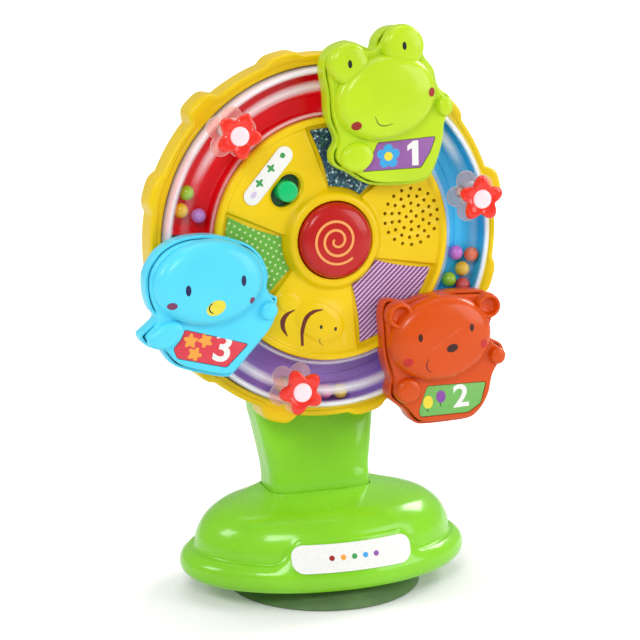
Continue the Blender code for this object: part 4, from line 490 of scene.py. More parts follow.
def ink(name, rgb, roughness=0.42):
    """Printed ink, with the fine speckle of a pad print."""
    look, colour = new_look(name), linear(rgb)
    return look.set(
        Base_Color=look.mix(look.cloud(2600.0, 0.35, 0.7), shade(colour, 0.86), shade(colour, 1.08)),
        Roughness=look.cloud(900.0, 0.3, 0.7, roughness - 0.05, roughness + 0.08),
        Normal=look.bump(look.noise(1800.0), 0.05, 0.0001))


def metal(name, rgb, roughness):
    look, colour = new_look(name), linear(rgb)
    swirl = look.noise(420.0, 5.0, 0.7)
    return look.set(
        Base_Color=look.mix(look.ramp(swirl, 0.3, 0.7), shade(colour, 0.82), shade(colour, 1.1)),
        Roughness=look.ramp(swirl, 0.3, 0.7, roughness - 0.07, roughness + 0.1), Metallic=1.0,
        Normal=look.bump(swirl, 0.08, 0.0002))


def clear_sheet(name, rgb, body, edge, highlight_rings=()):
    """Thin clear plastic: it passes light straight on, tints it a little and shines at its edges.

    The rings are painted highlights: paler bands that stand in for the lamps' reflections along the cover.
    Each is a radius, a half width, a share and an evenness.
    """
    look, colour = new_look(name), linear(rgb)
    flow = look.noise(45.0)
    look.set(Base_Color=look.mix(look.ramp(flow, 0.3, 0.7), shade(colour, 0.94), colour),
             Roughness=0.08, Specular_IOR_Level=0.6, Normal=look.bump(flow, 0.02, 0.0012))
    share = look.ramp(look.add("LayerWeight", 0.35).outputs["Facing"], 0.2, 1.0, body, edge)
    if highlight_rings:
        flat = look.add("VectorMath", look.place, (1.0, 1.0, 0.0), settings={"operation": "MULTIPLY"})
        radius = look.length(flat.outputs[0])
        height = look.math("ABSOLUTE", look.add("SeparateXYZ", look.place).outputs["Y"])
        broken = look.ramp(height, *HIGHLIGHT_BREAK)
    # Each ring adds a painted highlight, a paler band of the white plastic
    for middle, half, strength, evenness in highlight_rings:
        away = look.math("ABSOLUTE", look.math("SUBTRACT", radius, middle))
        painted_highlight = look.math("MULTIPLY", look.ramp(away, half, 0.0, 0.0, strength),
                         look.math("MAXIMUM", broken, evenness))
        share = look.math("ADD", share, painted_highlight)
    lit = look.math("SUBTRACT", 1.0, look.add("LightPath").outputs["Is Shadow Ray"])
    through = look.add("BsdfTransparent", (*colour, 1.0))
    return look.show(look.add("MixShader", look.math("MULTIPLY", share, lit), through.outputs[0],
                              look.shader.outputs[0]))


def clear(name, rgb, roughness, through, glow):
    """Clear moulded plastic with faint flow lines and a painted glow: it gives off a little light of its own
    colour, though it is no lamp.
    """
    look, colour = new_look(name), linear(rgb)
    flow = look.noise(45.0)
    return look.set(
        Base_Color=look.mix(look.ramp(flow, 0.3, 0.7), shade(colour, 0.96), colour),
        Roughness=look.cloud(160.0, 0.3, 0.8, roughness, roughness + 0.03, 3.0), IOR=1.46,
        # The emission is a painted glow
        Transmission_Weight=through, Coat_Weight=0.4, Coat_Roughness=0.03, Emission_Strength=glow,
        Emission_Color=(*colour, 1.0), Normal=look.bump(flow, 0.02, 0.0012))


def turned_place(look, degrees):
    """The wheel-frame position turned about w."""
    return look.add("Mapping", look.place, Rotation=(0.0, 0.0, math.radians(degrees))).outputs[0]


def wave(look, place, axis, pitch):
    """0 to 1 and back along one axis, once every pitch."""
    turn = look.math("MULTIPLY", look.add("SeparateXYZ", place).outputs[axis], math.tau / pitch)
    return look.ramp(look.math("SINE", turn), -1.0, 1.0)


def weave(look, place, pitch):
    """The height of a plain weave: threads of each direction pass over in turn."""
    over = look.add("TexChecker", place, Scale=1.0 / pitch).outputs["Fac"]
    return look.ramp(over, 0.0, 1.0, wave(look, place, "X", pitch), wave(look, place, "Y", pitch))


def stripe_cloth(name, dark, pale, dark_shadow, pale_shadow):
    """Diagonal stripes in a coarse woven ribbon."""
    look = new_look(name)
    place = turned_place(look, STRIPE_TURN)
    stripe = look.ramp(wave(look, place, "X", STRIPE_PITCH), 0.42, 0.60)
    thread = weave(look, place, RIBBON_THREAD)
    base = look.mix(stripe, linear(dark), linear(pale))
    shadow = look.mix(stripe, linear(dark_shadow), linear(pale_shadow))
    return look.set(Base_Color=look.mix(look.ramp(thread, 0.0, 0.55, 0.52, 1.0), shadow, base),
                    Roughness=0.8, Sheen_Weight=0.35, Sheen_Roughness=0.4,
                    Normal=look.bump(thread, 0.55, 0.0003))


def dot_cloth(name, low, high, dot):
    """Satin with small pale raised dots in a staggered grid; its weave's hollows are darker, as painted
    shade.
    """
    look = new_look(name)
    cells = look.add("TexVoronoi", settings={"voronoi_dimensions": "2D"},
                     Vector=turned_place(look, DOT_TURN), Scale=1 / DOT_PITCH, Randomness=0.0)
    dots = look.ramp(cells.outputs["Distance"], 0.24, 0.15)
    thread = weave(look, look.place, SATIN_THREAD)
    height = look.math("ADD", look.math("MULTIPLY", thread, 0.3), dots)
    # The low colour fills the weave's hollows: painted shade
    return look.set(Base_Color=look.mix(dots, look.mix(thread, linear(low), linear(high)), linear(dot)),
                    Roughness=0.7, Sheen_Weight=0.3, Sheen_Roughness=0.4,
                    Normal=look.bump(height, 0.5, 0.0003))


def glitter_cloth(name, dark, light, glint_colour):
    """Fabric covered with small flakes that each catch the light differently; some flakes are painted near
    white as glints.
    """
    look = new_look(name)
    cells = look.add("TexVoronoi", Vector=look.place, Scale=1150.0)
    first, second, third = look.add("SeparateColor", cells.outputs["Color"]).outputs
    flake = look.ramp(first, 0.1, 1.0)
    tint = look.mix(flake, linear(dark), linear(light))
    # Some flakes take the third colour: painted glints
    return look.set(Base_Color=look.mix(look.ramp(second, 0.86, 0.95), tint, linear(glint_colour)),
                    Roughness=look.ramp(third, 0.0, 1.0, 0.2, 0.6),
                    Metallic=look.ramp(flake, 0.2, 0.6, 0.1, 0.8), Normal=look.bump(first, 0.7, 0.0003))


def board(name, lacquer, copper):
    """A circuit board's lacquer over its copper lines."""
    look = new_look(name)
    lines = look.cloud(160.0, 0.48, 0.52, detail=1.0)
    return look.set(Base_Color=look.mix(lines, linear(lacquer), linear(copper)), Roughness=0.4,
                    Coat_Weight=0.2, Normal=look.bump(lines, 0.2, 0.0001))


# Each look's name, colours from 0 to 255 and other settings, by kind
LOOK_ROWS = {
    plastic: (
        ("yellow_plastic", (238, 202, 0), 0.32, 0.10), ("green_plastic", (136, 214, 34), 0.24, 0.45),
        ("frog_plastic", (190, 222, 30), 0.30, 0.25), ("bear_plastic", (214, 78, 4), 0.30, 0.22),
        ("bird_plastic", (88, 222, 255), 0.30, 0.2), ("red_plastic", (192, 22, 20), 0.26, 0.3),
        ("red_track", (240, 12, 26), 0.32), ("purple_track", (172, 136, 214), 0.32),
        # The slot floor's dark green is partly painted shade for the dim slot
        ("blue_track", (70, 204, 255), 0.32), ("knob_green", (0, 196, 112), 0.26),
        ("slot_green", (0, 74, 36), 0.4), ("black_plastic", (34, 34, 36), 0.45, 0.1),
        ("white_plastic", (225, 225, 220), 0.35), ("battery_wrap", (40, 46, 58), 0.3)),
    ink: (
        ("white_print", (244, 244, 240)), ("spiral_print", (255, 168, 92)),
        ("frog_label", (152, 92, 168)), ("bear_label", (118, 190, 92)), ("bird_label", (230, 62, 76)),
        ("ink_black", (22, 22, 20), 0.3), ("ink_navy", (26, 30, 84), 0.3), ("ink_brown", (104, 28, 0)),
        ("ink_nose", (58, 14, 8), 0.3), ("ink_red", (160, 28, 8)), ("ink_maroon", (128, 56, 96)),
        ("ink_pink", (204, 28, 24)), ("ink_blue", (54, 168, 232)), ("ink_yellow", (240, 224, 60)),
        ("ink_orange", (252, 168, 62)), ("ink_purple", (140, 72, 170)), ("ink_leaf", (60, 160, 80)),
        ("ink_mouth", (92, 96, 16)), ("ink_pale", (216, 200, 226))),
    # The cover's rings are painted highlights
    clear_sheet: (("clear_plastic", (252, 253, 255), 0.0, 0.30, COVER_HIGHLIGHT_RINGS),
                  ("lens_clear", (255, 236, 232), 0.14, 0.95)),
    # The lenses' last setting is a painted glow
    clear: (("lens_red", (240, 48, 28), 0.16, 0.35, 0.12), ("lens_core", (255, 226, 232), 0.25, 0.2, 0.22)),
    rubber: (("cup_rubber", (102, 136, 84)),),
    metal: (("steel", (190, 190, 192), 0.32),),
    board: (("board_green", (14, 82, 40), (30, 120, 60)),),
    stripe_cloth: (("stripe_cloth", (132, 70, 140), (228, 196, 230), (78, 34, 92), (186, 140, 196)),),
    dot_cloth: (("dot_cloth", (84, 158, 44), (118, 192, 70), (206, 230, 160)),),
    # The glitter's third colour is a painted glint
    glitter_cloth: (("glitter_cloth", (18, 44, 66), (74, 122, 140), (196, 224, 226)),),
}
LOOKS = {name: kind(name, *settings) for kind, rows in LOOK_ROWS.items() for name, *settings in rows}


# Mesh building
def put_in_scene(name, data):
    item = bpy.data.objects.new(name, data)
    bpy.context.collection.objects.link(item)
    return item


def make_object(name, vertices, faces):
    mesh = bpy.data.meshes.new(name)
    mesh.from_pydata(vertices, [], faces)
    shape = bmesh.new()
    shape.from_mesh(mesh)
    bmesh.ops.recalc_face_normals(shape, faces=shape.faces)
    shape.to_mesh(mesh)
    shape.free()
    return put_in_scene(name, mesh)


def loft_faces(ring_count, ring_size, looped=False, capped=False):
    faces = []
    for ring in range(ring_count if looped else ring_count - 1):
        near = ring * ring_size
        far = ((ring + 1) % ring_count) * ring_size
        for point in range(ring_size):
            step = (point + 1) % ring_size
            faces.append((near + point, near + step, far + step, far + point))
    if capped:
        faces.append(tuple(range(ring_size - 1, -1, -1)))
        faces.append(tuple(range((ring_count - 1) * ring_size, ring_count * ring_size)))
    return faces


def loft(name, rings, looped=False):
    faces = loft_faces(len(rings), len(rings[0]), looped, not looped)
    return make_object(name, [point for ring in rings for point in ring], faces)


def turned(name, profile, segments, middle=(0.0, 0.0), hollow=False):
    rings = []
    for radius, level in profile:
        rings.append([(*point, level) for point in radial_outline(lambda _: radius, middle, 0.0, segments)])
    return loft(name, rings, hollow)


def cylinder(radius, low, high, middle=(0.0, 0.0), segments=24):
    return turned("tool", ((radius, low), (radius, high)), segments, middle)


def stacked(name, outlines):
    return loft(name, [[(x, y, level) for x, y in points] for points, level in outlines])


def rounded(corners, closed=True, steps=5):
    """A path whose corners are curves: each corner is a point and the reach of its curve.

    The reach is measured in a point's first two coordinates, and any others follow along.
    """
    path = []
    count = len(corners)
    for k, (point, reach) in enumerate(corners):
        here = Vector(point)
        if reach == 0 or (not closed and k in (0, count - 1)):
            path.append(here)
            continue
        back = Vector(corners[k - 1][0]) - here
        ahead = Vector(corners[(k + 1) % count][0]) - here
        start = here + back * min(reach / math.hypot(back[0], back[1]), 0.5)
        end = here + ahead * min(reach / math.hypot(ahead[0], ahead[1]), 0.5)
        for step in range(steps + 1):
            share = step / steps
            path.append(start.lerp(here, share).lerp(here.lerp(end, share), share))
    return path


def smooth_path(control, steps, closed=False):
    """A curve through every control point, in any number of dimensions."""
    path = []
    size = len(control)
    for k in range(size if closed else size - 1):
        if closed:
            p0, p1, p2, p3 = (Vector(control[(k + o) % size]) for o in (-1, 0, 1, 2))
        else:
            p0, p1, p2, p3 = (Vector(control[min(max(k + o, 0), size - 1)]) for o in (-1, 0, 1, 2))
        for step in range(steps):
            t = step / steps
            path.append(0.5 * (2 * p1 + (p2 - p0) * t + (2 * p0 - 5 * p1 + 4 * p2 - p3) * t * t
                               + (3 * p1 - p0 - 3 * p2 + p3) * t ** 3))
    if not closed:
        path.append(Vector(control[-1]))
    return path


def even_outline(control, count):
    """A closed curve through the control points, spaced evenly along its length."""
    dense = smooth_path(control, 12, closed=True)
    lengths = [0.0]
    for a, b in zip(dense, dense[1:] + dense[:1]):
        lengths.append(lengths[-1] + (b - a).length)
    points = []
    index = 0
    for k in range(count):
        target = lengths[-1] * k / count
        while lengths[index + 1] < target:
            index += 1
        share = (target - lengths[index]) / (lengths[index + 1] - lengths[index])
        points.append(tuple(dense[index].lerp(dense[(index + 1) % len(dense)], share)))
    return points


def inset(points, distance):
    """The outline moved inward along its corner normals. Points run either way round."""
    area = sum(a[0] * b[1] - b[0] * a[1] for a, b in zip(points, points[1:] + points[:1]))
    sign = 1 if area > 0 else -1
    moved = []
    for before, here, after in zip(points[-1:] + points[:-1], points, points[1:] + points[:1]):
        along = (Vector(here) - Vector(before)).normalized() + (Vector(after) - Vector(here)).normalized()
        along.normalize()
        moved.append((here[0] - along.y * distance * sign, here[1] + along.x * distance * sign))
    return moved


def softened(points, passes):
    """The outline with its tight corners eased."""
    for _ in range(passes):
        points = [((a[0] + 2 * b[0] + c[0]) / 4, (a[1] + 2 * b[1] + c[1]) / 4)
                  for a, b, c in zip(points[-1:] + points[:-1], points, points[1:] + points[:1])]
    return points


def polar(distance, degrees, middle=(0.0, 0.0)):
    return (middle[0] + distance * math.cos(math.radians(degrees)),
            middle[1] + distance * math.sin(math.radians(degrees)))


def radial_outline(reach_at, middle, turn, segments):
    """A closed outline: its reach from the middle follows the angle, in radians, from the turn."""
    angles = [math.tau * k / segments for k in range(segments)]
    return [polar(reach_at(angle), math.degrees(angle) + turn, middle) for angle in angles]


def ellipse_outline(middle, half_width, half_height, turn=0.0, segments=72):
    along, aside = polar(1.0, turn), polar(1.0, turn + 90)
    points = []
    for k in range(segments):
        x = half_width * math.cos(math.tau * k / segments)
        y = half_height * math.sin(math.tau * k / segments)
        points.append((middle[0] + x * along[0] + y * aside[0], middle[1] + x * along[1] + y * aside[1]))
    return points


def pill_outline(length, width, middle, turn):
    """A slot shape: two half circles joined by straight sides."""
    arc_points = 20
    ends = [polar(side * (length - width) / 2, turn, middle) for side in (1, -1)]
    return [polar(width / 2, turn + 180 * (k / arc_points - 0.5 + end), ends[end])
            for end in (0, 1) for k in range(arc_points + 1)]


def lobed_outline(radius, middle, turn, lobes, depth, sharp, segments=120):
    """A flower or star shape with one lobe at the turn angle."""
    def reach_at(angle):
        swell = (0.5 + 0.5 * math.cos(lobes * angle)) ** sharp
        return radius * (1 - depth + depth * swell)
    return radial_outline(reach_at, middle, turn, segments)


def petal_outline(radius, middle, turn):
    """Five round petals in a ring."""
    distance, petal = radius * 0.60, radius * 0.40
    pitch = math.tau / 5

    def reach_at(angle):
        offset = (angle + pitch / 2) % pitch - pitch / 2
        return distance * math.cos(offset) + math.sqrt(petal ** 2 - (distance * math.sin(offset)) ** 2)
    return radial_outline(reach_at, middle, turn, 120)


def dome(name, middle, half_width, half_height, turn, low, high, shares, segments):
    return stacked(name, [(ellipse_outline(middle, half_width * reach, half_height * reach, turn, segments),
                           low + (high - low) * rise) for reach, rise in smooth_path(shares, 5)])


def combine(target, tool, operation):
    """Cuts or joins with the EXACT solver, keeps the result and removes the tool."""
    modifier = target.modifiers.new(operation.lower(), "BOOLEAN")
    modifier.operation = operation
    modifier.solver = "EXACT"
    modifier.object = tool
    bake(target)
    bpy.data.objects.remove(tool, do_unlink=True)


def bake(item):
    """Applies the object's modifiers."""
    bpy.context.view_layer.update()
    graph = bpy.context.evaluated_depsgraph_get()
    result = bpy.data.meshes.new_from_object(item.evaluated_get(graph))
    item.modifiers.clear()
    item.data = result


def cut(target, tool):
    combine(target, tool, "DIFFERENCE")


def join(target, tool):
    combine(target, tool, "UNION")


def merged(items):
    """One object that holds several separate solids."""
    vertices, faces = [], []
    for item in items:
        faces += [[len(vertices) + k for k in face.vertices] for face in item.data.polygons]
        vertices += [vertex.co[:] for vertex in item.data.vertices]
        bpy.data.objects.remove(item, do_unlink=True)
    return make_object("tools", vertices, faces)


def settle(item, body, look, replaced=None, sharp=35):
    """Gives the piece its look and shading, puts it in its frame and rides it on its body.

    Where it stands for a CAD piece, that CAD piece is hidden.
    """
    item.data.materials.clear()
    item.data.materials.append(LOOKS[look])
    item.data.shade_smooth()
    item.data.set_sharp_from_angle(angle=math.radians(sharp))
    item.matrix_world = STAND if body == "stand" else WHEEL
    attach(item, body)
    if replaced:
        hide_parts(replaced)


def surface_of(*items):
    """Where a straight drop along w first meets these pieces, as a function of u and v."""
    trees = [BVHTree.FromObject(item, bpy.context.evaluated_depsgraph_get()) for item in items]

    def level(u, v, fallback):
        hits = [tree.ray_cast(Vector((u, v, 0.1)), Vector((0.0, 0.0, -1.0)))[0] for tree in trees]
        return max((hit.z for hit in hits if hit is not None), default=fallback)
    return level


class Ink:
    """Thin printed shapes that follow the surface under them, gathered into one piece."""

    def __init__(self, name, look, surface, lift):
        self.name, self.look, self.surface, self.lift = name, look, surface, lift
        self.vertices, self.faces = [], []

    def gather(self, vertices, faces):
        self.faces += [[len(self.vertices) + k for k in face] for face in faces]
        self.vertices += vertices

    def blob(self, outline):
        """A filled shape that widens steadily from its middle."""
        size = len(outline)
        middle = Vector((sum(p[0] for p in outline) / size, sum(p[1] for p in outline) / size))
        centre = self.surface(*middle, 0.0)
        vertices = [(*point, self.surface(*point, centre) - INK_SINK) for point in outline]
        for share in (1.0, 0.8, 0.55, 0.28):
            spots = [middle.lerp(Vector(point), share) for point in outline]
            vertices += [(*spot, self.surface(*spot, centre) + self.lift) for spot in spots]
        last, bottom, top = 4 * size, 5 * size, 5 * size + 1
        vertices += [(*middle, centre - INK_SINK), (*middle, centre + self.lift)]
        faces = loft_faces(5, size)
        for k in range(size):
            step = (k + 1) % size
            faces += [(last + k, last + step, top), (step, k, bottom)]
        self.gather(vertices, faces)

    def stroke(self, path, widths):
        """A ribbon along a path. The widths are shared out evenly along it."""
        count = len(path)
        corners = ((1, self.lift), (0, self.lift), (-1, self.lift), (-1, -INK_SINK), (1, -INK_SINK))
        vertices = []
        seen = 0.0
        for k, here in enumerate(path):
            along = (Vector(path[min(k + 1, count - 1)]) - Vector(path[max(k - 1, 0)])).normalized()
            place = k / (count - 1) * (len(widths) - 1)
            index = min(int(place), len(widths) - 2)
            half = (widths[index] + (widths[index + 1] - widths[index]) * (place - index)) / 2
            side = Vector((-along.y, along.x)) * half
            for shift, lift in corners:
                spot = Vector(here) + side * shift
                seen = self.surface(*spot, seen)
                vertices.append((*spot, seen + lift))
        self.gather(vertices, loft_faces(count, 5, capped=True))

    def print(self, body):
        settle(make_object(self.name, self.vertices, self.faces), body, self.look, sharp=60)


# Stand
def superellipse(half_width, half_depth, middle_y, level, power, count):
    points = []
    for k in range(count):
        angle = math.tau * k / count
        x = math.copysign(abs(math.cos(angle)) ** (2 / power), math.cos(angle))
        y = math.copysign(abs(math.sin(angle)) ** (2 / power), math.sin(angle))
        points.append((half_width * x, middle_y + half_depth * y, level))
    return points


def neck_section(shares):
    height_share, width_share, depth_share, toe_share = shares
    level = NECK_FOOT_Z + (NECK_TOP_Z - NECK_FOOT_Z) * height_share
    half_depth = NECK_HALF_DEPTH * depth_share
    wheel_back = (level - HUB_HEIGHT) * math.tan(WHEEL_TILT) - HUB_FORWARD - WHEEL_BACK * math.cos(WHEEL_TILT)
    front = wheel_back + WHEEL_BACK_GAP - NECK_TOE * toe_share
    return NECK_HALF_WIDTH * width_share, half_depth, front + half_depth, level


def hump_share(x, y):
    if y >= 0:
        return 0.0
    reach = min(max((HUMP_HALF_WIDTH - abs(x)) / HUMP_FADE, 0.0), 1.0)
    return reach * reach * (3 - 2 * reach)


def base_point(angle, plain, hump):
    unit_x, unit_y = math.cos(angle), math.sin(angle)
    share = hump_share(BASE_HALF_WIDTH * unit_x, unit_y)
    reach = plain[0] + (hump[0] - plain[0]) * share
    rise = plain[1] + (hump[1] - plain[1]) * share
    return (BASE_HALF_WIDTH * reach * unit_x, BASE_HALF_DEPTH * reach * unit_y,
            BASE_FLOOR_Z + BASE_HEIGHT * rise)


def neck_rings(margin, sections, segments, steps):
    rings = []
    for shares in smooth_path(sections, steps):
        half_width, half_depth, middle, level = neck_section(shares)
        rings.append(superellipse(half_width - margin, half_depth - margin, middle, level, NECK_SQUARENESS,
                                  segments))
    return rings


def drawn_in(point, angle):
    """The inside of the base's wall, across from a point of its outside."""
    outward = Vector((math.cos(angle) / BASE_HALF_WIDTH, math.sin(angle) / BASE_HALF_DEPTH)).normalized()
    return (point[0] - outward.x * SHELL_WALL, point[1] - outward.y * SHELL_WALL,
            max(point[2] - SHELL_WALL, BASE_FLOOR_Z))


def make_base():
    """The base's outside, the mouth around the neck, and its inside."""
    segments, steps = 256, 6
    angles = [math.tau * k / segments for k in range(segments)]
    outer = [[base_point(angle, plain, hump) for angle in angles] for plain, hump in
             zip(smooth_path(BASE_PLAIN_SHARES, steps), smooth_path(BASE_HUMP_SHARES, steps))]
    inner = [[drawn_in(point, angle) for point, angle in zip(ring, angles)] for ring in outer[:-steps]]
    half_width, half_depth, middle, _ = neck_section(NECK_SECTION_SHARES[1])
    mouth = [superellipse(half_width + RUN_GAP, half_depth + RUN_GAP, middle, level, NECK_SQUARENESS,
                          segments) for level in (BASE_TOP_Z, BASE_TOP_Z - 2 * SHELL_WALL)]
    shell = loft("base_shell_form", outer + mouth + inner[::-1], looped=True)
    settle(shell, "stand", "green_plastic", "base_shell")


def make_cup():
    rim_inner = CUP_RADIUS - CUP_RIM_WIDTH
    back = smooth_path(CUP_BACK_SHARES, 6)
    dish = smooth_path(CUP_DISH_SHARES, 6)
    profile = [(rim_inner * reach, CUP_DISH_DEPTH * rise) for reach, rise in dish]
    profile += [(rim_inner + OVERRUN, 0.0), (CUP_RADIUS - OVERRUN, 0.0)]
    profile += [(CUP_RADIUS * reach, CUP_HEIGHT * rise) for reach, rise in back]
    profile += [(CUP_STEM_RADIUS, CUP_HEIGHT), (CUP_STEM_RADIUS, CUP_FLANGE_LOW),
                (CUP_FLANGE_RADIUS, CUP_FLANGE_LOW), (CUP_FLANGE_RADIUS, CUP_FLANGE_LOW + THIN_WALL),
                (CUP_STEM_RADIUS, CUP_FLANGE_LOW + SHELL_WALL)]
    settle(turned("suction_cup_form", profile, 128), "stand", "cup_rubber", "suction_cup")


def label_point(x, rise_share, lift):
    """A point over the hump's slope, at a distance x from its middle, lifted off it."""
    reach, rise = (low + (high - low) * rise_share for low, high in zip(LABEL_LOW_SHARES, LABEL_HIGH_SHARES))
    sine = x / (BASE_HALF_WIDTH * reach)
    y = -BASE_HALF_DEPTH * reach * math.sqrt(1 - sine * sine)
    return (x + lift * sine * BASE_HALF_DEPTH / BASE_HALF_WIDTH, y - lift * LABEL_CLIMB / LABEL_SLOPE,
            BASE_FLOOR_Z + BASE_HEIGHT * rise + lift * LABEL_RUN / LABEL_SLOPE)


def label_solid(name, length, height, corner, top, middle=0.0, columns=41):
    """A round-cornered plate bent to the base's front."""
    rings = []
    for k in range(columns):
        x = length / 2 * -math.cos(math.pi * k / (columns - 1))
        past = max(abs(x) - (length / 2 - corner), 0.0)
        half = height / 2 - corner + math.sqrt(max(corner ** 2 - (past * 0.985) ** 2, 0.0))
        rows = [0.5 + half / LABEL_SLOPE * share for share in (-1.0, -0.5, 0.0, 0.5, 1.0)]
        rings.append([label_point(middle + x, row, SEAT_GAP) for row in rows]
                     + [label_point(middle + x, row, top) for row in reversed(rows)])
    return loft(name, rings)


def make_base_label():
    """The name plate is left without its name: a plain white plate with a small row of spots."""
    top = SEAT_GAP + LABEL_THICKNESS
    plate = label_solid("base_label_form", LABEL_LENGTH, LABEL_HEIGHT, LABEL_CORNER, top)
    settle(plate, "stand", "white_print", "base_label")
    for k, colour in enumerate(LABEL_SPOTS):
        spot = label_solid("base_label_spot_ink_" + colour, SPOT_SIZE, SPOT_SIZE, SPOT_CORNER, top + INK_LIFT,
                           SPOT_PITCH * (k - 2), 17)
        settle(spot, "stand", "ink_" + colour)


def make_neck():
    segments, steps = 112, 4
    for half, side in (("front", -1), ("back", 1)):
        rings = []
        for ring in neck_rings(0.0, NECK_SECTION_SHARES, segments, steps):
            arc = ring[segments // 2:] + ring[:1] if side < 0 else ring[:segments // 2 + 1]
            seam = ring[0][1] + side * SEAT_GAP / 2
            rings.append([(x, min(y, seam) if side < 0 else max(y, seam), z) for x, y, z in arc])
        shell = loft("neck_" + half + "_form", rings)
        room = neck_rings(SHELL_WALL, NECK_SECTION_SHARES[:10], segments, steps)
        room.insert(0, [(x, y, z - OVERRUN) for x, y, z in room[0]])
        cut(shell, loft("room", room))
        levels = (WHEEL_BACK - WHEEL_BACK_GAP - NECK_BORE_REACH, 0.0) if side < 0 else BACK_BORE_LEVELS
        bore = cylinder(NECK_BORE_RADIUS, *levels, segments=32)
        bore.data.transform(Matrix.Translation((-STAND_AXIS_X, 0.0, 0.0)) @ WHEEL)
        cut(shell, bore)
        settle(shell, "stand", "green_plastic", "neck_" + half + "_shell")


# Wheel
def bump_share(degrees):
    """How far the rim stands out at an angle, and a share that is 1 on any bump."""
    pitch = 360 / BUMP_COUNT
    offset = (degrees - WHEEL_PHASE + pitch / 2) % pitch - pitch / 2
    index = round((degrees - WHEEL_PHASE - offset) / pitch) % (BUMP_COUNT // 3)
    height, half_share = BIG_BUMP if index == 0 else SMALL_BUMP
    share = max(1 - (offset / (pitch * half_share)) ** 4, 0.0) ** BUMP_ROUNDNESS
    return height * share, share


def make_rim():
    inner = WHEEL_RADIUS - SHELL_WALL
    hub_outer = HUB_HOLE + SHELL_WALL
    corners = (
        ((HUB_HOLE, WHEEL_BACK, 0), 0), ((LIP_RADIUS, WHEEL_BACK, 0), 0),
        ((WHEEL_RADIUS, WHEEL_BACK, 1), RIM_BACK_EDGE), ((WHEEL_RADIUS, 0.0, 1), RIM_FRONT_EDGE),
        *(((LIP_RADIUS + out, level, bumped), edge) for out, level, bumped, edge in LIP_GROOVE),
        ((LIP_RADIUS, -LIP_THICKNESS, 0), 0), ((inner, -LIP_THICKNESS, 0), 0),
        ((inner, WHEEL_FLOOR, 0), RIM_FLOOR_FILLET), ((hub_outer, WHEEL_FLOOR, 0), 0),
        ((hub_outer, HUB_INNER_LEVEL, 0), 0), ((HUB_HOLE, HUB_INNER_LEVEL, 0), 0))
    rings = []
    for radius, level, bumped in rounded(corners, steps=6):
        lift = BUMP_LIFT * min(max((level + BUMP_FADE) / BUMP_FADE, 0.0), 1.0) * bumped
        ring = []
        for k in range(RIM_SEGMENTS):
            angle = 360 * k / RIM_SEGMENTS
            height, share = bump_share(angle)
            ring.append((*polar(radius + height * bumped, angle), level + lift * share))
        rings.append(ring)
    shell = loft("wheel_rim_form", rings, looped=True)
    left, right, bottom, top = DOOR_OPENING
    corners = ((left, bottom), (right, bottom), (right, top), (left, top))
    cut(shell, stacked("opening", ((corners, WHEEL_BACK - OVERRUN), (corners, WHEEL_FLOOR + OVERRUN))))
    well_top = WHEEL_BACK + WELL_DEPTH + BOSS_WALL
    for angle in SHELL_SCREW_ANGLES:
        spot = polar(SHELL_SCREW_DISTANCE, angle)
        join(shell, cylinder(POST_RADIUS, WHEEL_BACK + FUSE_DEPTH, well_top, spot))
        cut(shell, cylinder(WELL_RADIUS, WHEEL_BACK - OVERRUN, WHEEL_BACK + WELL_DEPTH, spot))
        cut(shell, cylinder(BORE_RADIUS, WHEEL_BACK, well_top + OVERRUN, spot))
    for critter in CRITTERS:
        for spot in peg_places(critter):
            join(shell, cylinder(BORE_RADIUS + BOSS_WALL, WHEEL_BACK + FUSE_DEPTH, TRACK_TOP_LEVEL, spot))
            cut(shell, cylinder(BORE_RADIUS, TRACK_TOP_LEVEL - SCREW_LENGTH, TRACK_TOP_LEVEL + OVERRUN, spot))
    settle(shell, "wheel", "yellow_plastic", "wheel_back_shell")


def recess_half_angle(radius):
    share = (radius - COLLAR_RADIUS) / SECTOR_LENGTH
    return RECESS_INNER_ANGLE + (RECESS_OUTER_ANGLE - RECESS_INNER_ANGLE) * min(max(share, 0.0), 1.0)


def panel_ring(radius, raised, sunk):
    """One ring of the front panel, with a soft step between the raised sectors and the recesses."""
    edge = 60 - recess_half_angle(radius)
    low = edge + STEP_ANGLE
    offsets = [edge * (k / 12 - 1) for k in range(25)] + [edge + STEP_ANGLE * k / 6 for k in range(1, 6)]
    offsets += [low + (120 - 2 * low) * k / 20 for k in range(21)]
    offsets += [120 - low + STEP_ANGLE * k / 6 for k in range(1, 6)]
    ring = []
    for sector in range(3):
        for offset in offsets:
            down = min(max((min(abs(offset), 120 - offset) - edge) / STEP_ANGLE, 0.0), 1.0)
            crown = SECTOR_CROWN * max(1 - (offset / edge) ** 4, 0.0)
            level = raised + (sunk - raised) * (down * down * (3 - 2 * down) - crown)
            ring.append((*polar(radius, WHEEL_PHASE + 120 * sector + offset), level))
    return ring


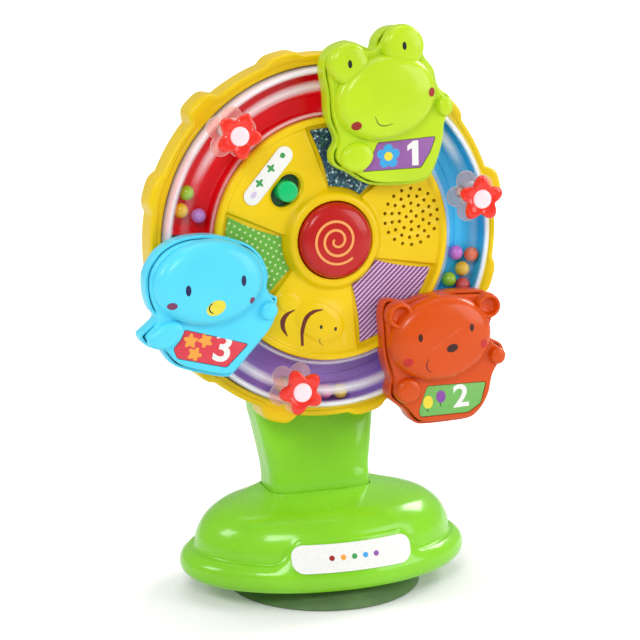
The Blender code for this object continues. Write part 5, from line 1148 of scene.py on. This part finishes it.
def make_panel():
    hole = DOME_RADIUS + RUN_GAP
    rim_inner = PANEL_RADIUS - PANEL_RIM_WIDTH
    skirt_inner = PANEL_RADIUS - SHELL_WALL
    foot = WHEEL_FLOOR + SEAT_GAP
    under = PANEL_UNDER_LEVEL
    points = (
        (hole, under, under), (hole, COLLAR_LEVEL, COLLAR_LEVEL),
        (COLLAR_RADIUS - COLLAR_SHOULDER, COLLAR_LEVEL, COLLAR_LEVEL),
        (COLLAR_RADIUS + COLLAR_STEP[0], *(PANEL_RIM_LEVEL - drop for drop in COLLAR_STEP_DROPS)),
        (COLLAR_RADIUS + COLLAR_STEP[1], SECTOR_LEVEL, RECESS_LEVEL),
        (rim_inner + PANEL_RIM_SLOPE[0], SECTOR_LEVEL, RECESS_LEVEL),
        (rim_inner + PANEL_RIM_SLOPE[1], PANEL_RIM_LEVEL, PANEL_RIM_LEVEL),
        (PANEL_RADIUS, PANEL_RIM_LEVEL, PANEL_RIM_LEVEL), (PANEL_RADIUS, foot, foot),
        (skirt_inner, foot, foot), (skirt_inner, under, under))
    edges = (0, *COLLAR_EDGES, *PANEL_FILLETS, PANEL_EDGE, 0, 0, 0)
    panel = loft("front_panel_form", [panel_ring(*row) for row in rounded(tuple(zip(points, edges)))],
                 looped=True)
    direction = WHEEL_PHASE + 240
    for along, across, half_length, half_width, turn, rise in BEE_FORMS:
        middle = polar(SECTOR_LENGTH * across, direction - 90,
                       polar(COLLAR_RADIUS + SECTOR_LENGTH * along, direction))
        join(panel, dome("bee", middle, SECTOR_LENGTH * half_length, SECTOR_LENGTH * half_width,
                         direction + 90 + turn, SECTOR_LEVEL - BEE_SINK, SECTOR_LEVEL + rise,
                         SOFT_DOME_SHARES, 80))
    slot = pill_outline(SLOT_LENGTH, SLOT_WIDTH, SLOT_CENTRE, SLOT_ANGLE)
    wide = inset(slot, -SLOT_CHAMFER)
    cut(panel, stacked("slot", (
        (slot, under - OVERRUN), (slot, SECTOR_LEVEL - SLOT_CHAMFER_DEPTH),
        (inset(slot, -SLOT_MID_CHAMFER), SECTOR_LEVEL), (wide, SECTOR_LEVEL + SLOT_CHAMFER_DEPTH),
        (wide, SECTOR_LEVEL + OVERRUN))))
    cut(panel, merged([
        cylinder(SPEAKER_HOLE_RADIUS, under - OVERRUN, SECTOR_LEVEL + OVERRUN,
                 polar(radius, 360 * (k + index / 2) / count, SPEAKER_CENTRE), 12)
        for index, (radius, count) in enumerate(SPEAKER_RINGS) for k in range(count)]))
    settle(panel, "wheel", "yellow_plastic", "wheel_front_panel")
    return panel


def make_tracks():
    under = TRACK_FLOOR_LEVEL - TRACK_FLOOR_THICKNESS
    foot = WHEEL_FLOOR + SEAT_GAP
    top = TRACK_TOP_LEVEL
    inner, outer = TRACK_INNER + TRACK_WALL, TRACK_OUTER - TRACK_WALL
    inside = TRACK_HALF_ANGLE - TRACK_END_ANGLE
    spans = 72
    ends = [(-TRACK_HALF_ANGLE, True), (-inside - TRACK_END_ANGLE / 8, True)]
    angles = ends + [(inside * (2 * k / spans - 1), False) for k in range(spans + 1)]
    angles += [(-angle, True) for angle, _ in reversed(ends)]
    for colour, middle in TRACKS.items():
        direction = middle + WHEEL_PHASE
        rings = []
        for angle, closed in angles:
            floor = top - FUSE_DEPTH if closed else TRACK_FLOOR_LEVEL
            rib = 0.0 if closed else TRACK_RIB
            section = [(TRACK_INNER, top), (TRACK_INNER, foot), (inner, foot), (inner, under), (outer, under),
                       (outer, foot), (TRACK_OUTER, foot), (TRACK_OUTER, top), (outer, top)]
            section += [(outer - away, floor + rise) for away, rise in TRACK_FILLET]
            section += [(inner + (outer - inner) * share, floor + rib * lift)
                        for share, lift in TRACK_RIB_SHARES]
            section += [(inner + away, floor + rise) for away, rise in reversed(TRACK_FILLET)]
            section.append((inner, top))
            rings.append([(*polar(radius, direction + angle), level) for radius, level in section])
        track = loft(colour + "_track_form", rings)
        cut(track, cylinder(LED_HOLE_RADIUS, under - OVERRUN, TRACK_FLOOR_LEVEL + OVERRUN,
                            polar(FLOWER_DISTANCE, direction)))
        settle(track, "wheel", colour + "_track", colour + "_track")


def peg_places(critter):
    middle = round((CRITTERS[critter]["direction"] - 60) / 120) * 120 + 60 + WHEEL_PHASE
    return [polar(TRAY_PEG_DISTANCE, middle + side * TRAY_PEG_ANGLE) for side in (-1, 1)]


def make_cover():
    under = COVER_LEVEL - COVER_WALL
    skirt = COVER_RADIUS - COVER_SKIRT
    low = -LIP_THICKNESS + SEAT_GAP
    corners = (
        ((TRACK_INNER, under), 0), ((skirt, under), COVER_FILLET), ((skirt, low), 0),
        ((COVER_RADIUS, low), 0), ((COVER_RADIUS, COVER_LEVEL), COVER_EDGE),
        ((TRACK_INNER, COVER_LEVEL), COVER_INNER_EDGE))
    cover = turned("track_cover_form", rounded(corners, steps=8), 240, hollow=True)
    for critter in CRITTERS:
        for spot in peg_places(critter):
            cut(cover, cylinder(BORE_RADIUS, under - OVERRUN, COVER_LEVEL + OVERRUN, spot, 16))
    settle(cover, "wheel", "clear_plastic", "track_cover")


def make_flowers():
    low = COVER_LEVEL + SEAT_GAP
    high = low + FLOWER_HEIGHT
    for colour, middle in TRACKS.items():
        direction = middle + WHEEL_PHASE
        spot = polar(FLOWER_DISTANCE, direction)
        name = "flower_" + FLOWER_NAMES[colour]
        foot = [(petal_outline(FLOWER_FOOT_RADIUS * reach, spot, direction + FLOWER_FOOT_TURN),
                 low + FLOWER_HEIGHT * rise) for reach, rise in rounded(FLOWER_FOOT_SHARES, closed=False)]
        settle(stacked(name + "_housing", foot), "wheel", "lens_clear", "flower_lens_" + FLOWER_NAMES[colour])
        star = [(lobed_outline(FLOWER_STAR_RADIUS * reach, spot, direction + FLOWER_STAR_TURN, 5, depth, 0.8),
                 low + FLOWER_HEIGHT * rise) for reach, rise, depth in FLOWER_STAR_SHARES]
        settle(stacked(name + "_star", star), "wheel", "lens_red")
        core = dome(name + "_core", spot, FLOWER_CORE_RADIUS, FLOWER_CORE_RADIUS, 0.0,
                    high - FLOWER_CORE_DEPTH, high, LOW_DOME_SHARES, 48)
        settle(core, "wheel", "lens_core")


def make_beads():
    inner = TRACK_INNER + TRACK_WALL + BEAD_RADIUS
    outer = TRACK_OUTER - TRACK_WALL - BEAD_RADIUS
    rows = 20
    profile = []
    for row in range(rows + 1):
        tilt = math.pi * (BEAD_END_SHARE + (1 - 2 * BEAD_END_SHARE) * row / rows)
        radius = BEAD_RADIUS if row == rows // 2 else BEAD_RADIUS - BEAD_SEAM
        profile.append((radius * math.sin(tilt), BEAD_LEVEL - BEAD_RADIUS * math.cos(tilt)))
    for track, places in BEADS.items():
        for colour, rgb, angle, share in places:
            name = "bead_" + colour + "_in_" + track + "_track"
            LOOKS[name] = plastic(name, rgb, 0.2, 0.5, 3.0)
            bead = turned(name + "_form", profile, 36, polar(inner + (outer - inner) * share, angle))
            settle(bead, track + "_track_beads", name, name)


def make_patches():
    inner = COLLAR_RADIUS + PATCH_MARGIN
    outer = PANEL_RADIUS - PANEL_RIM_WIDTH - 2 * FUSE_DEPTH - PATCH_MARGIN
    low = RECESS_LEVEL + SEAT_GAP
    across, along = 72, 40
    row = across + 1
    size = row * (along + 1)
    faces = []
    for start in range(0, size - row, row):
        for a in range(start, start + across):
            quad = (a, a + 1, a + row + 1, a + row)
            faces += [quad, tuple(size + k for k in reversed(quad))]
    border = [*range(row), *range(row + across, size, row), *range(size - 2, size - row - 1, -1),
              *range(size - 2 * row, 0, -row)]
    faces += [(b, a, size + a, size + b) for a, b in zip(border, border[1:] + border[:1])]
    for index, name in enumerate(("glitter", "dot", "stripe")):
        direction = WHEEL_PHASE + 60 + 120 * index
        vertices = []
        for side in (1, -1):
            for i in range(along + 1):
                radius = inner + (outer - inner) * i / along
                half = recess_half_angle(radius) - STEP_ANGLE - math.degrees(PATCH_MARGIN / radius)
                for j in range(row):
                    sink = CLOTH_EDGE * (1 - min(i, along - i, j, across - j, 4) / 4)
                    ripple = CLOTH_RIPPLE * math.sin(j * 0.55 + index) * math.sin(i * 0.7)
                    level = low + PATCH_THICKNESS - sink + ripple if side == 1 else low
                    vertices.append((*polar(radius, direction + half * (2 * j / across - 1)), level))
        patch = make_object(name + "_patch_cloth", vertices, faces)
        settle(patch, "wheel", name + "_cloth", name + "_patch")


def critter_points(spec, pairs):
    (u, v), (half_width, half_height) = spec["centre"], spec["half"]
    return [(u + x * half_width, v + y * half_height) for x, y in pairs]


def edge_levels(outline, low, high, low_edge, high_edge, steps=5):
    """Outlines from low to high whose two edges are rounded."""
    turns = [math.pi / 2 * k / steps for k in range(steps + 1)]
    levels = [(low_edge * (1 - math.sin(turn)), low + low_edge * (1 - math.cos(turn))) for turn in turns]
    levels += [(high_edge * (1 - math.cos(turn)), high - high_edge * (1 - math.sin(turn))) for turn in turns]
    return [(inset(outline, margin), level) for margin, level in levels]


def make_tray(critter, outline):
    tray = stacked(critter + "_tray_form", edge_levels(outline, TRAY_LOW_LEVEL, TRAY_TOP_LEVEL, *TRAY_EDGES))
    hollow = inset(outline, THIN_WALL)
    cut(tray, stacked("hollow", ((hollow, TRAY_FLOOR_LEVEL), (hollow, TRAY_TOP_LEVEL + OVERRUN))))
    cut(tray, cylinder(TRACK_INNER, TRAY_LOW_LEVEL - OVERRUN, TRAY_LEVEL, segments=180))
    for spot in peg_places(critter):
        join(tray, cylinder(TRAY_PEG_RADIUS, TRAY_LOW_LEVEL - TRAY_PEG_LENGTH, TRAY_LOW_LEVEL + FUSE_DEPTH,
                            spot, 16))
    settle(tray, "wheel", critter + "_plastic", critter + "_tray")


def make_button(critter, spec, outline):
    """The animal's button and its number label. Returns their surface."""
    half_width, half_height = spec["half"]
    side = softened(inset(softened(outline, 8), BUTTON_INSET), 12)
    button = stacked(critter + "_button_form", edge_levels(side, BUTTON_SKIRT_LEVEL, BUTTON_PLATE_LEVEL,
                                                           BUTTON_LOW_EDGE, BUTTON_EDGE))

    def add(x, y, wide, high, turn, level, shares, segments=64):
        middle, = critter_points(spec, ((x, y),))
        join(button, dome("form", middle, wide, high, turn, BUTTON_PLATE_LEVEL - 2 * FUSE_DEPTH, level,
                          shares, segments))

    for x, y, reach in spec["ears"]:
        add(x, y, half_width * reach, half_width * reach, 0.0, EAR_LEVEL,
            DISHED_SHARES if spec["dished"] else LOW_DOME_SHARES)
    for x, y, wide, high, turn in spec["hands"]:
        add(x, y, half_width * wide, half_height * high, turn, HAND_LEVEL, LOW_DOME_SHARES)
    x, y, wide, high, turn = spec["head"]
    add(x, y, half_width * wide, half_height * high, turn, HEAD_LEVEL, DOME_SHARES, 128)
    corners = critter_points(spec, spec["label"])
    flat = [tuple(p) for p in rounded([(c, NUMBER_LABEL_CORNER) for c in corners], steps=4)]
    recess = inset(flat, -SEAT_GAP)
    low = BUTTON_PLATE_LEVEL - NUMBER_LABEL_RECESS
    cut(button, stacked("recess", ((recess, low), (recess, HEAD_LEVEL + OVERRUN))))
    label = stacked(critter + "_label_form",
                    edge_levels(flat, low + SEAT_GAP, NUMBER_LEVEL, LABEL_EDGE, LABEL_EDGE, 2))
    body = critter + "_key"
    settle(button, body, critter + "_plastic", critter + "_button", sharp=40)
    settle(label, body, critter + "_label", critter + "_number_label")
    return surface_of(button, label)


def print_number(text, middle, size, turn, body):
    """A bold printed number. The 1 is a plain thick stem with a flag."""
    if text == "1":
        outline = [(middle[0] + x, middle[1] + y) for x, y in ONE_OUTLINE]
        item = stacked("number_1", ((outline, NUMBER_LEVEL - INK_LIFT), (outline, NUMBER_LEVEL + INK_LIFT)))
    else:
        curve = bpy.data.curves.new("number_" + text, "FONT")
        curve.body = text
        curve.size = size
        curve.offset = size * DIGIT_WEIGHT_SHARE
        curve.extrude = INK_LIFT
        curve.align_x = curve.align_y = "CENTER"
        source = put_in_scene("number_source", curve)
        bpy.context.view_layer.update()
        mesh = bpy.data.meshes.new_from_object(source.evaluated_get(bpy.context.evaluated_depsgraph_get()))
        bpy.data.objects.remove(source, do_unlink=True)
        place = Matrix.Translation((*middle, NUMBER_LEVEL))
        mesh.transform(place @ Matrix.Rotation(math.radians(turn), 4, "Z")
                       @ Matrix.Diagonal((*DIGIT_STRETCH, 1.0, 1.0)))
        item = put_in_scene("number_" + text, mesh)
    settle(item, body, "white_print")


def ovals(*rows):
    """Ovals, each given by its middle's u and v, its half sizes and its turn."""
    return [ellipse_outline((u, v), wide, high, turn, 36) for u, v, wide, high, turn in rows]


def thin_line(width, path):
    return [(smooth_path(path, 8), (width * 0.3, width, width, width * 0.3))]


# Printed shapes and lines by animal. Each has a name, a look, a lift, and outlines or paths with widths.
FROG_FLOWER = (0.0244, 0.0387)
BALLOONS = {"purple": (0.0487, -0.0779, 0.0026), "yellow": (0.0421, -0.0800, 0.0027)}
BIRD_STARS = ((-0.0744, -0.0398), (-0.0672, -0.0402), (-0.0727, -0.0462))
SHAPES = {
    "bee": [("bee_eyes", "ink_black", INK_LIFT, [ellipse_outline(spot, 0.0007, 0.0010, segments=20)
                                                 for spot in ((-0.0073, -0.0410), (0.0, -0.0426))])],
    "frog": [
        ("frog_eyes", "ink_black", INK_LIFT,
         ovals((0.0046, 0.0831, 0.0010, 0.0019, 4), (0.0315, 0.0900, 0.0010, 0.0019, 4))),
        ("frog_cheeks", "ink_red", INK_LIFT,
         ovals((0.0067, 0.0546, 0.0023, 0.0021, 0), (0.0442, 0.0680, 0.0019, 0.0022, 0))),
        ("frog_flower", "ink_blue", INK_LIFT, [petal_outline(0.0058, FROG_FLOWER, 90)]),
        ("frog_flower_middle", "ink_yellow", 2 * INK_LIFT, ovals((*FROG_FLOWER, 0.0021, 0.0021, 0)))],
    "bear": [
        ("bear_eyes", "ink_nose", INK_LIFT,
         ovals((0.0358, -0.0470, 0.0011, 0.0019, 0), (0.0619, -0.0443, 0.0011, 0.0019, 0))),
        ("bear_nose", "ink_nose", INK_LIFT, ovals((0.0517, -0.0532, 0.0029, 0.0019, 14))),
        ("bear_cheeks", "ink_pink", INK_LIFT,
         ovals((0.0300, -0.0585, 0.0023, 0.0021, 0), (0.0685, -0.0529, 0.0019, 0.0021, 0)))] + [
        ("bear_balloon_" + colour, "ink_" + colour, 2 * INK_LIFT,
         ovals((u, v, reach * 0.92, reach * 1.15, 0))) for colour, (u, v, reach) in BALLOONS.items()],
    "bird": [
        ("bird_eyes", "ink_navy", INK_LIFT,
         ovals((-0.0770, -0.0150, 0.0013, 0.0025, 0), (-0.0504, -0.0125, 0.0012, 0.0025, 0))),
        ("bird_cheeks", "ink_maroon", INK_LIFT,
         ovals((-0.0844, -0.0218, 0.0023, 0.0017, 0), (-0.0458, -0.0224, 0.0015, 0.0017, 20))),
        ("bird_beak", "ink_yellow", INK_LIFT, ovals((-0.0640, -0.0241, 0.0048, 0.0034, 22)))] + [
        ("bird_star_" + str(k + 1), "ink_orange", INK_LIFT,
         [lobed_outline(0.0036, spot, 80 + 25 * k, 5, 0.42, 1.1, 60)]) for k, spot in enumerate(BIRD_STARS)],
}
LINES = {
    "bee": [
        ("bee_stripes", "ink_brown", INK_LIFT, [
            (smooth_path([(-0.0197, -0.0318), (-0.0232, -0.0336), (-0.0255, -0.0365), (-0.0256, -0.0403),
                          (-0.0235, -0.0443)], 8), (0.0003, 0.0018, 0.0026, 0.0020, 0.0003)),
            (smooth_path([(-0.0061, -0.0328), (-0.0111, -0.0335), (-0.0146, -0.0363), (-0.0162, -0.0417),
                          (-0.0163, -0.0495)], 8), (0.0004, 0.0017, 0.0021, 0.0017, 0.0013))]),
        ("bee_mouth", "ink_mouth", INK_LIFT, [
            (smooth_path([(-0.0077, -0.0462), (-0.0077, -0.0485), (-0.0058, -0.0503)], 8),
             (0.0001, 0.0004, 0.0001))])],
    "frog": [("frog_mouth", "ink_mouth", INK_LIFT, thin_line(0.0005, [
        (0.0150, 0.0589), (0.0158, 0.0572), (0.0166, 0.0555), (0.0180, 0.0544), (0.0200, 0.0540),
        (0.0225, 0.0544), (0.0242, 0.0549)]))],
    "bear": [("bear_mouth", "ink_nose", INK_LIFT, thin_line(0.0005, [
        (0.0400, -0.0572), (0.0391, -0.0590), (0.0388, -0.0613), (0.0398, -0.0631), (0.0416, -0.0641)]))] + [
        ("bear_balloon_" + colour + "_string", "ink_nose", INK_LIFT, thin_line(0.0004, [
            (u, v - reach), (u - 0.0004, v - reach - 0.0012), (u + 0.0002, v - reach - 0.0022)]))
        for colour, (u, v, reach) in BALLOONS.items()],
    "bird": [("bird_beak_mark", "ink_black", 2 * INK_LIFT, [
        (smooth_path([(-0.0657, -0.0217), (-0.0670, -0.0227), (-0.0673, -0.0243), (-0.0667, -0.0257),
                      (-0.0654, -0.0265)], 6), (0.0004, 0.0006, 0.0006, 0.0004))])],
}
NUMBERS = {"frog": ("1", (0.0375, 0.0394), 0.0, 0.0), "bear": ("2", (0.0590, -0.0790), 0.0128, 2.0),
           "bird": ("3", (-0.0591, -0.0450), 0.0155, -14.0)}


def print_marks(body, surface, shapes=(), lines=()):
    """Prints shapes and lines, in rows like those above, on a surface."""
    for name, look, lift, outlines in shapes:
        mark = Ink(name, look, surface, lift)
        for outline in outlines:
            mark.blob(outline)
        mark.print(body)
    for name, look, lift, strokes in lines:
        mark = Ink(name, look, surface, lift)
        for path, widths in strokes:
            mark.stroke(path, widths)
        mark.print(body)


def make_music_button():
    under = PANEL_UNDER_LEVEL - SEAT_GAP
    low = under - DOME_FLANGE_THICKNESS
    flange = DOME_RADIUS + DOME_FLANGE
    profile = [(DOME_PIN_RADIUS, DOME_PIN_LEVEL), (DOME_PIN_RADIUS, DOME_ROOF_LEVEL),
               (DOME_ROOF_RADIUS, DOME_ROOF_LEVEL), (DOME_HOLLOW_RADIUS, DOME_SKIRT_LEVEL - FUSE_DEPTH),
               (DOME_HOLLOW_RADIUS, low), (flange, low), (flange, under), (DOME_RADIUS, under)]
    profile += [(DOME_RADIUS * reach, DOME_SKIRT_LEVEL + (DOME_LEVEL - DOME_SKIRT_LEVEL) * share)
                for reach, share in smooth_path(DOME_SHARES, 7)]
    button = turned("music_button_form", profile, 128)
    surface = surface_of(button)
    settle(button, "music_key", "red_plastic", "music_button")
    points = 150
    path = [polar(SPIRAL_INNER + (SPIRAL_OUTER - SPIRAL_INNER) * (k / points) ** 0.93,
                  SPIRAL_START + 360 * SPIRAL_TURNS * k / points, SPIRAL_CENTRE) for k in range(points + 1)]
    widths = [SPIRAL_WIDTH * share for share in (0.8, 1.0, 1.0, 0.9)]
    print_marks("music_key", surface, lines=[("music_spiral", "spiral_print", SPIRAL_RISE, [(path, widths)])])


def make_power_slider():
    under = PANEL_UNDER_LEVEL - SEAT_GAP
    skirt = pill_outline(SLOT_LENGTH + 2 * SWITCH_TRAVEL + THIN_WALL, SLOT_WIDTH + THIN_WALL, SLOT_CENTRE,
                         SLOT_ANGLE)
    floor = stacked("power_slide_floor", ((skirt, under - THIN_WALL), (skirt, under)))
    # The skirt plate is a real part; its dark green is partly painted shade for the dim slot
    settle(floor, "power_slider", "slot_green")
    reach, rise = KNOB_MIDDLE
    corners = [((KNOB_RADIUS, under - OVERRUN / 2), 0), ((KNOB_RADIUS, KNOB_TOP_LEVEL), KNOB_EDGE),
               ((reach, KNOB_TOP_LEVEL + rise), 0)]
    knob = turned("power_knob_form", rounded(corners, closed=False, steps=8), 72, SLOT_CENTRE)
    settle(knob, "power_slider", "knob_green", "power_switch_knob")
    centre = polar(SWITCH_LABEL_OFFSET, SLOT_ANGLE + 90, SLOT_CENTRE)
    pill = pill_outline(SWITCH_LABEL_LENGTH, SWITCH_LABEL_WIDTH, centre, SLOT_ANGLE)
    low = SECTOR_LEVEL + SEAT_GAP
    label = stacked("switch_label_form",
                    edge_levels(pill, low, low + SWITCH_LABEL_THICKNESS, LABEL_EDGE, 2 * LABEL_EDGE, 3))
    surface = surface_of(label)
    settle(label, "wheel", "white_print", "switch_label")
    round_spot, *cross_spots = (polar(across, SLOT_ANGLE + 90, polar(along, SLOT_ANGLE, centre))
                                for along, across in SWITCH_MARKS)
    marks = [ellipse_outline(round_spot, SWITCH_DOT_RADIUS, SWITCH_DOT_RADIUS, segments=30)]
    marks += [lobed_outline(SWITCH_CROSS_RADIUS, spot, SLOT_ANGLE + 90, 4, 0.55, 1.2, 48)
              for spot in cross_spots]
    pale = ellipse_outline(polar(SWITCH_PALE_SHIFT, SLOT_ANGLE, centre), *SWITCH_PALE_RADII, SLOT_ANGLE, 30)
    print_marks("wheel", surface, [("switch_marks", "ink_leaf", INK_LIFT, marks),
                                   ("switch_pale_mark", "ink_pale", INK_LIFT, [pale])])


# Build
make_cup()
make_base()
make_base_label()
make_neck()
make_rim()
print_marks("wheel", surface_of(make_panel()), SHAPES["bee"], LINES["bee"])
make_tracks()
make_cover()
make_flowers()
make_beads()
make_patches()
for animal, form in CRITTERS.items():
    edge = even_outline(critter_points(form, form["outline"]), 260)
    make_tray(animal, edge)
    print_marks(animal + "_key", make_button(animal, form, edge), SHAPES[animal], LINES[animal])
    print_number(*NUMBERS[animal], animal + "_key")
make_music_button()
make_power_slider()

# Finishes on the CAD pieces that are shown as they are
CAD_LOOKS = {
    "base_bottom_plate": "green_plastic", "battery_door": "yellow_plastic", "speaker": "black_plastic",
    "circuit_board": "board_green", "battery_box": "black_plastic", "battery_1": "battery_wrap",
    "battery_2": "battery_wrap",
}
for name, node in frame["nodes"].items():
    look = CAD_LOOKS.get(name, "white_plastic" if "led" in name else "steel")
    node.data.materials.clear()
    node.data.materials.append(LOOKS[look])


# Stage, light and camera
def photo_camera():
    azimuth, elevation = VIEW_AZIMUTH, VIEW_ELEVATION
    back = Vector((-math.sin(azimuth) * math.cos(elevation), -math.cos(azimuth) * math.cos(elevation),
                   math.sin(elevation)))
    right = Vector((math.cos(azimuth), -math.sin(azimuth), 0.0))
    place = back * VIEW_DISTANCE + right * VIEW_SIDE_SHIFT + Vector((STAND_AXIS_X, 0.0, VIEW_HEIGHT))
    camera = bpy.data.cameras.new("photo_camera")
    camera.sensor_width = SENSOR_MM
    camera.lens = SENSOR_MM * VIEW_FOCAL_PIXELS / PHOTO_PIXELS
    camera.clip_start = 0.01
    item = put_in_scene("photo_camera", camera)
    axes = Matrix((right, back.cross(right), back)).transposed().to_4x4()
    item.matrix_world = Matrix.Translation(place) @ axes
    bpy.context.scene.camera = item


def area_light(name, place, target_height, size, power):
    lamp = bpy.data.lights.new(name, "AREA")
    lamp.shape = "RECTANGLE"
    lamp.size, lamp.size_y = size
    lamp.energy = power
    item = put_in_scene(name, lamp)
    item.location = place
    aim = Vector((0.0, 0.0, target_height)) - Vector(place)
    item.rotation_euler = aim.to_track_quat("-Z", "Y").to_euler()


def seen_share(look):
    """1 for rays from the camera, straight or through clear plastic, and 0 for all other light."""
    path = look.add("LightPath").outputs
    return look.math("MAXIMUM", path["Is Camera Ray"], path["Is Transmission Ray"])


def make_floor():
    """A matt floor that turns to plain white away from the toy, so that no horizon shows."""
    bpy.ops.mesh.primitive_plane_add(size=FLOOR_SIZE)
    floor = bpy.context.object
    floor.name = "studio_floor"
    look = new_look("studio_floor")
    look.set(Base_Color=FLOOR_GREY, Roughness=0.9, Specular_IOR_Level=0.1)
    strength = look.math("MULTIPLY", seen_share(look), look.ramp(look.length(look.place), *FLOOR_GLOW))
    glow = look.add("Emission", WHITE, strength)
    floor.data.materials.append(look.show(look.add("AddShader", look.shader.outputs[0], glow.outputs[0])))


def make_world():
    """A soft even light, behind which plain white is seen."""
    world = bpy.data.worlds.new("studio")
    bpy.context.scene.world = world
    look = Nodes(world)
    soft, white = (look.add("Background", WHITE, strength).outputs[0] for strength in (WORLD_LIGHT, 1.0))
    look.show(look.add("MixShader", seen_share(look), soft, white))


make_floor()
make_world()
for name, settings in LAMPS.items():
    area_light(name, *settings)
photo_camera()
bpy.context.scene.view_settings.view_transform = "Standard"
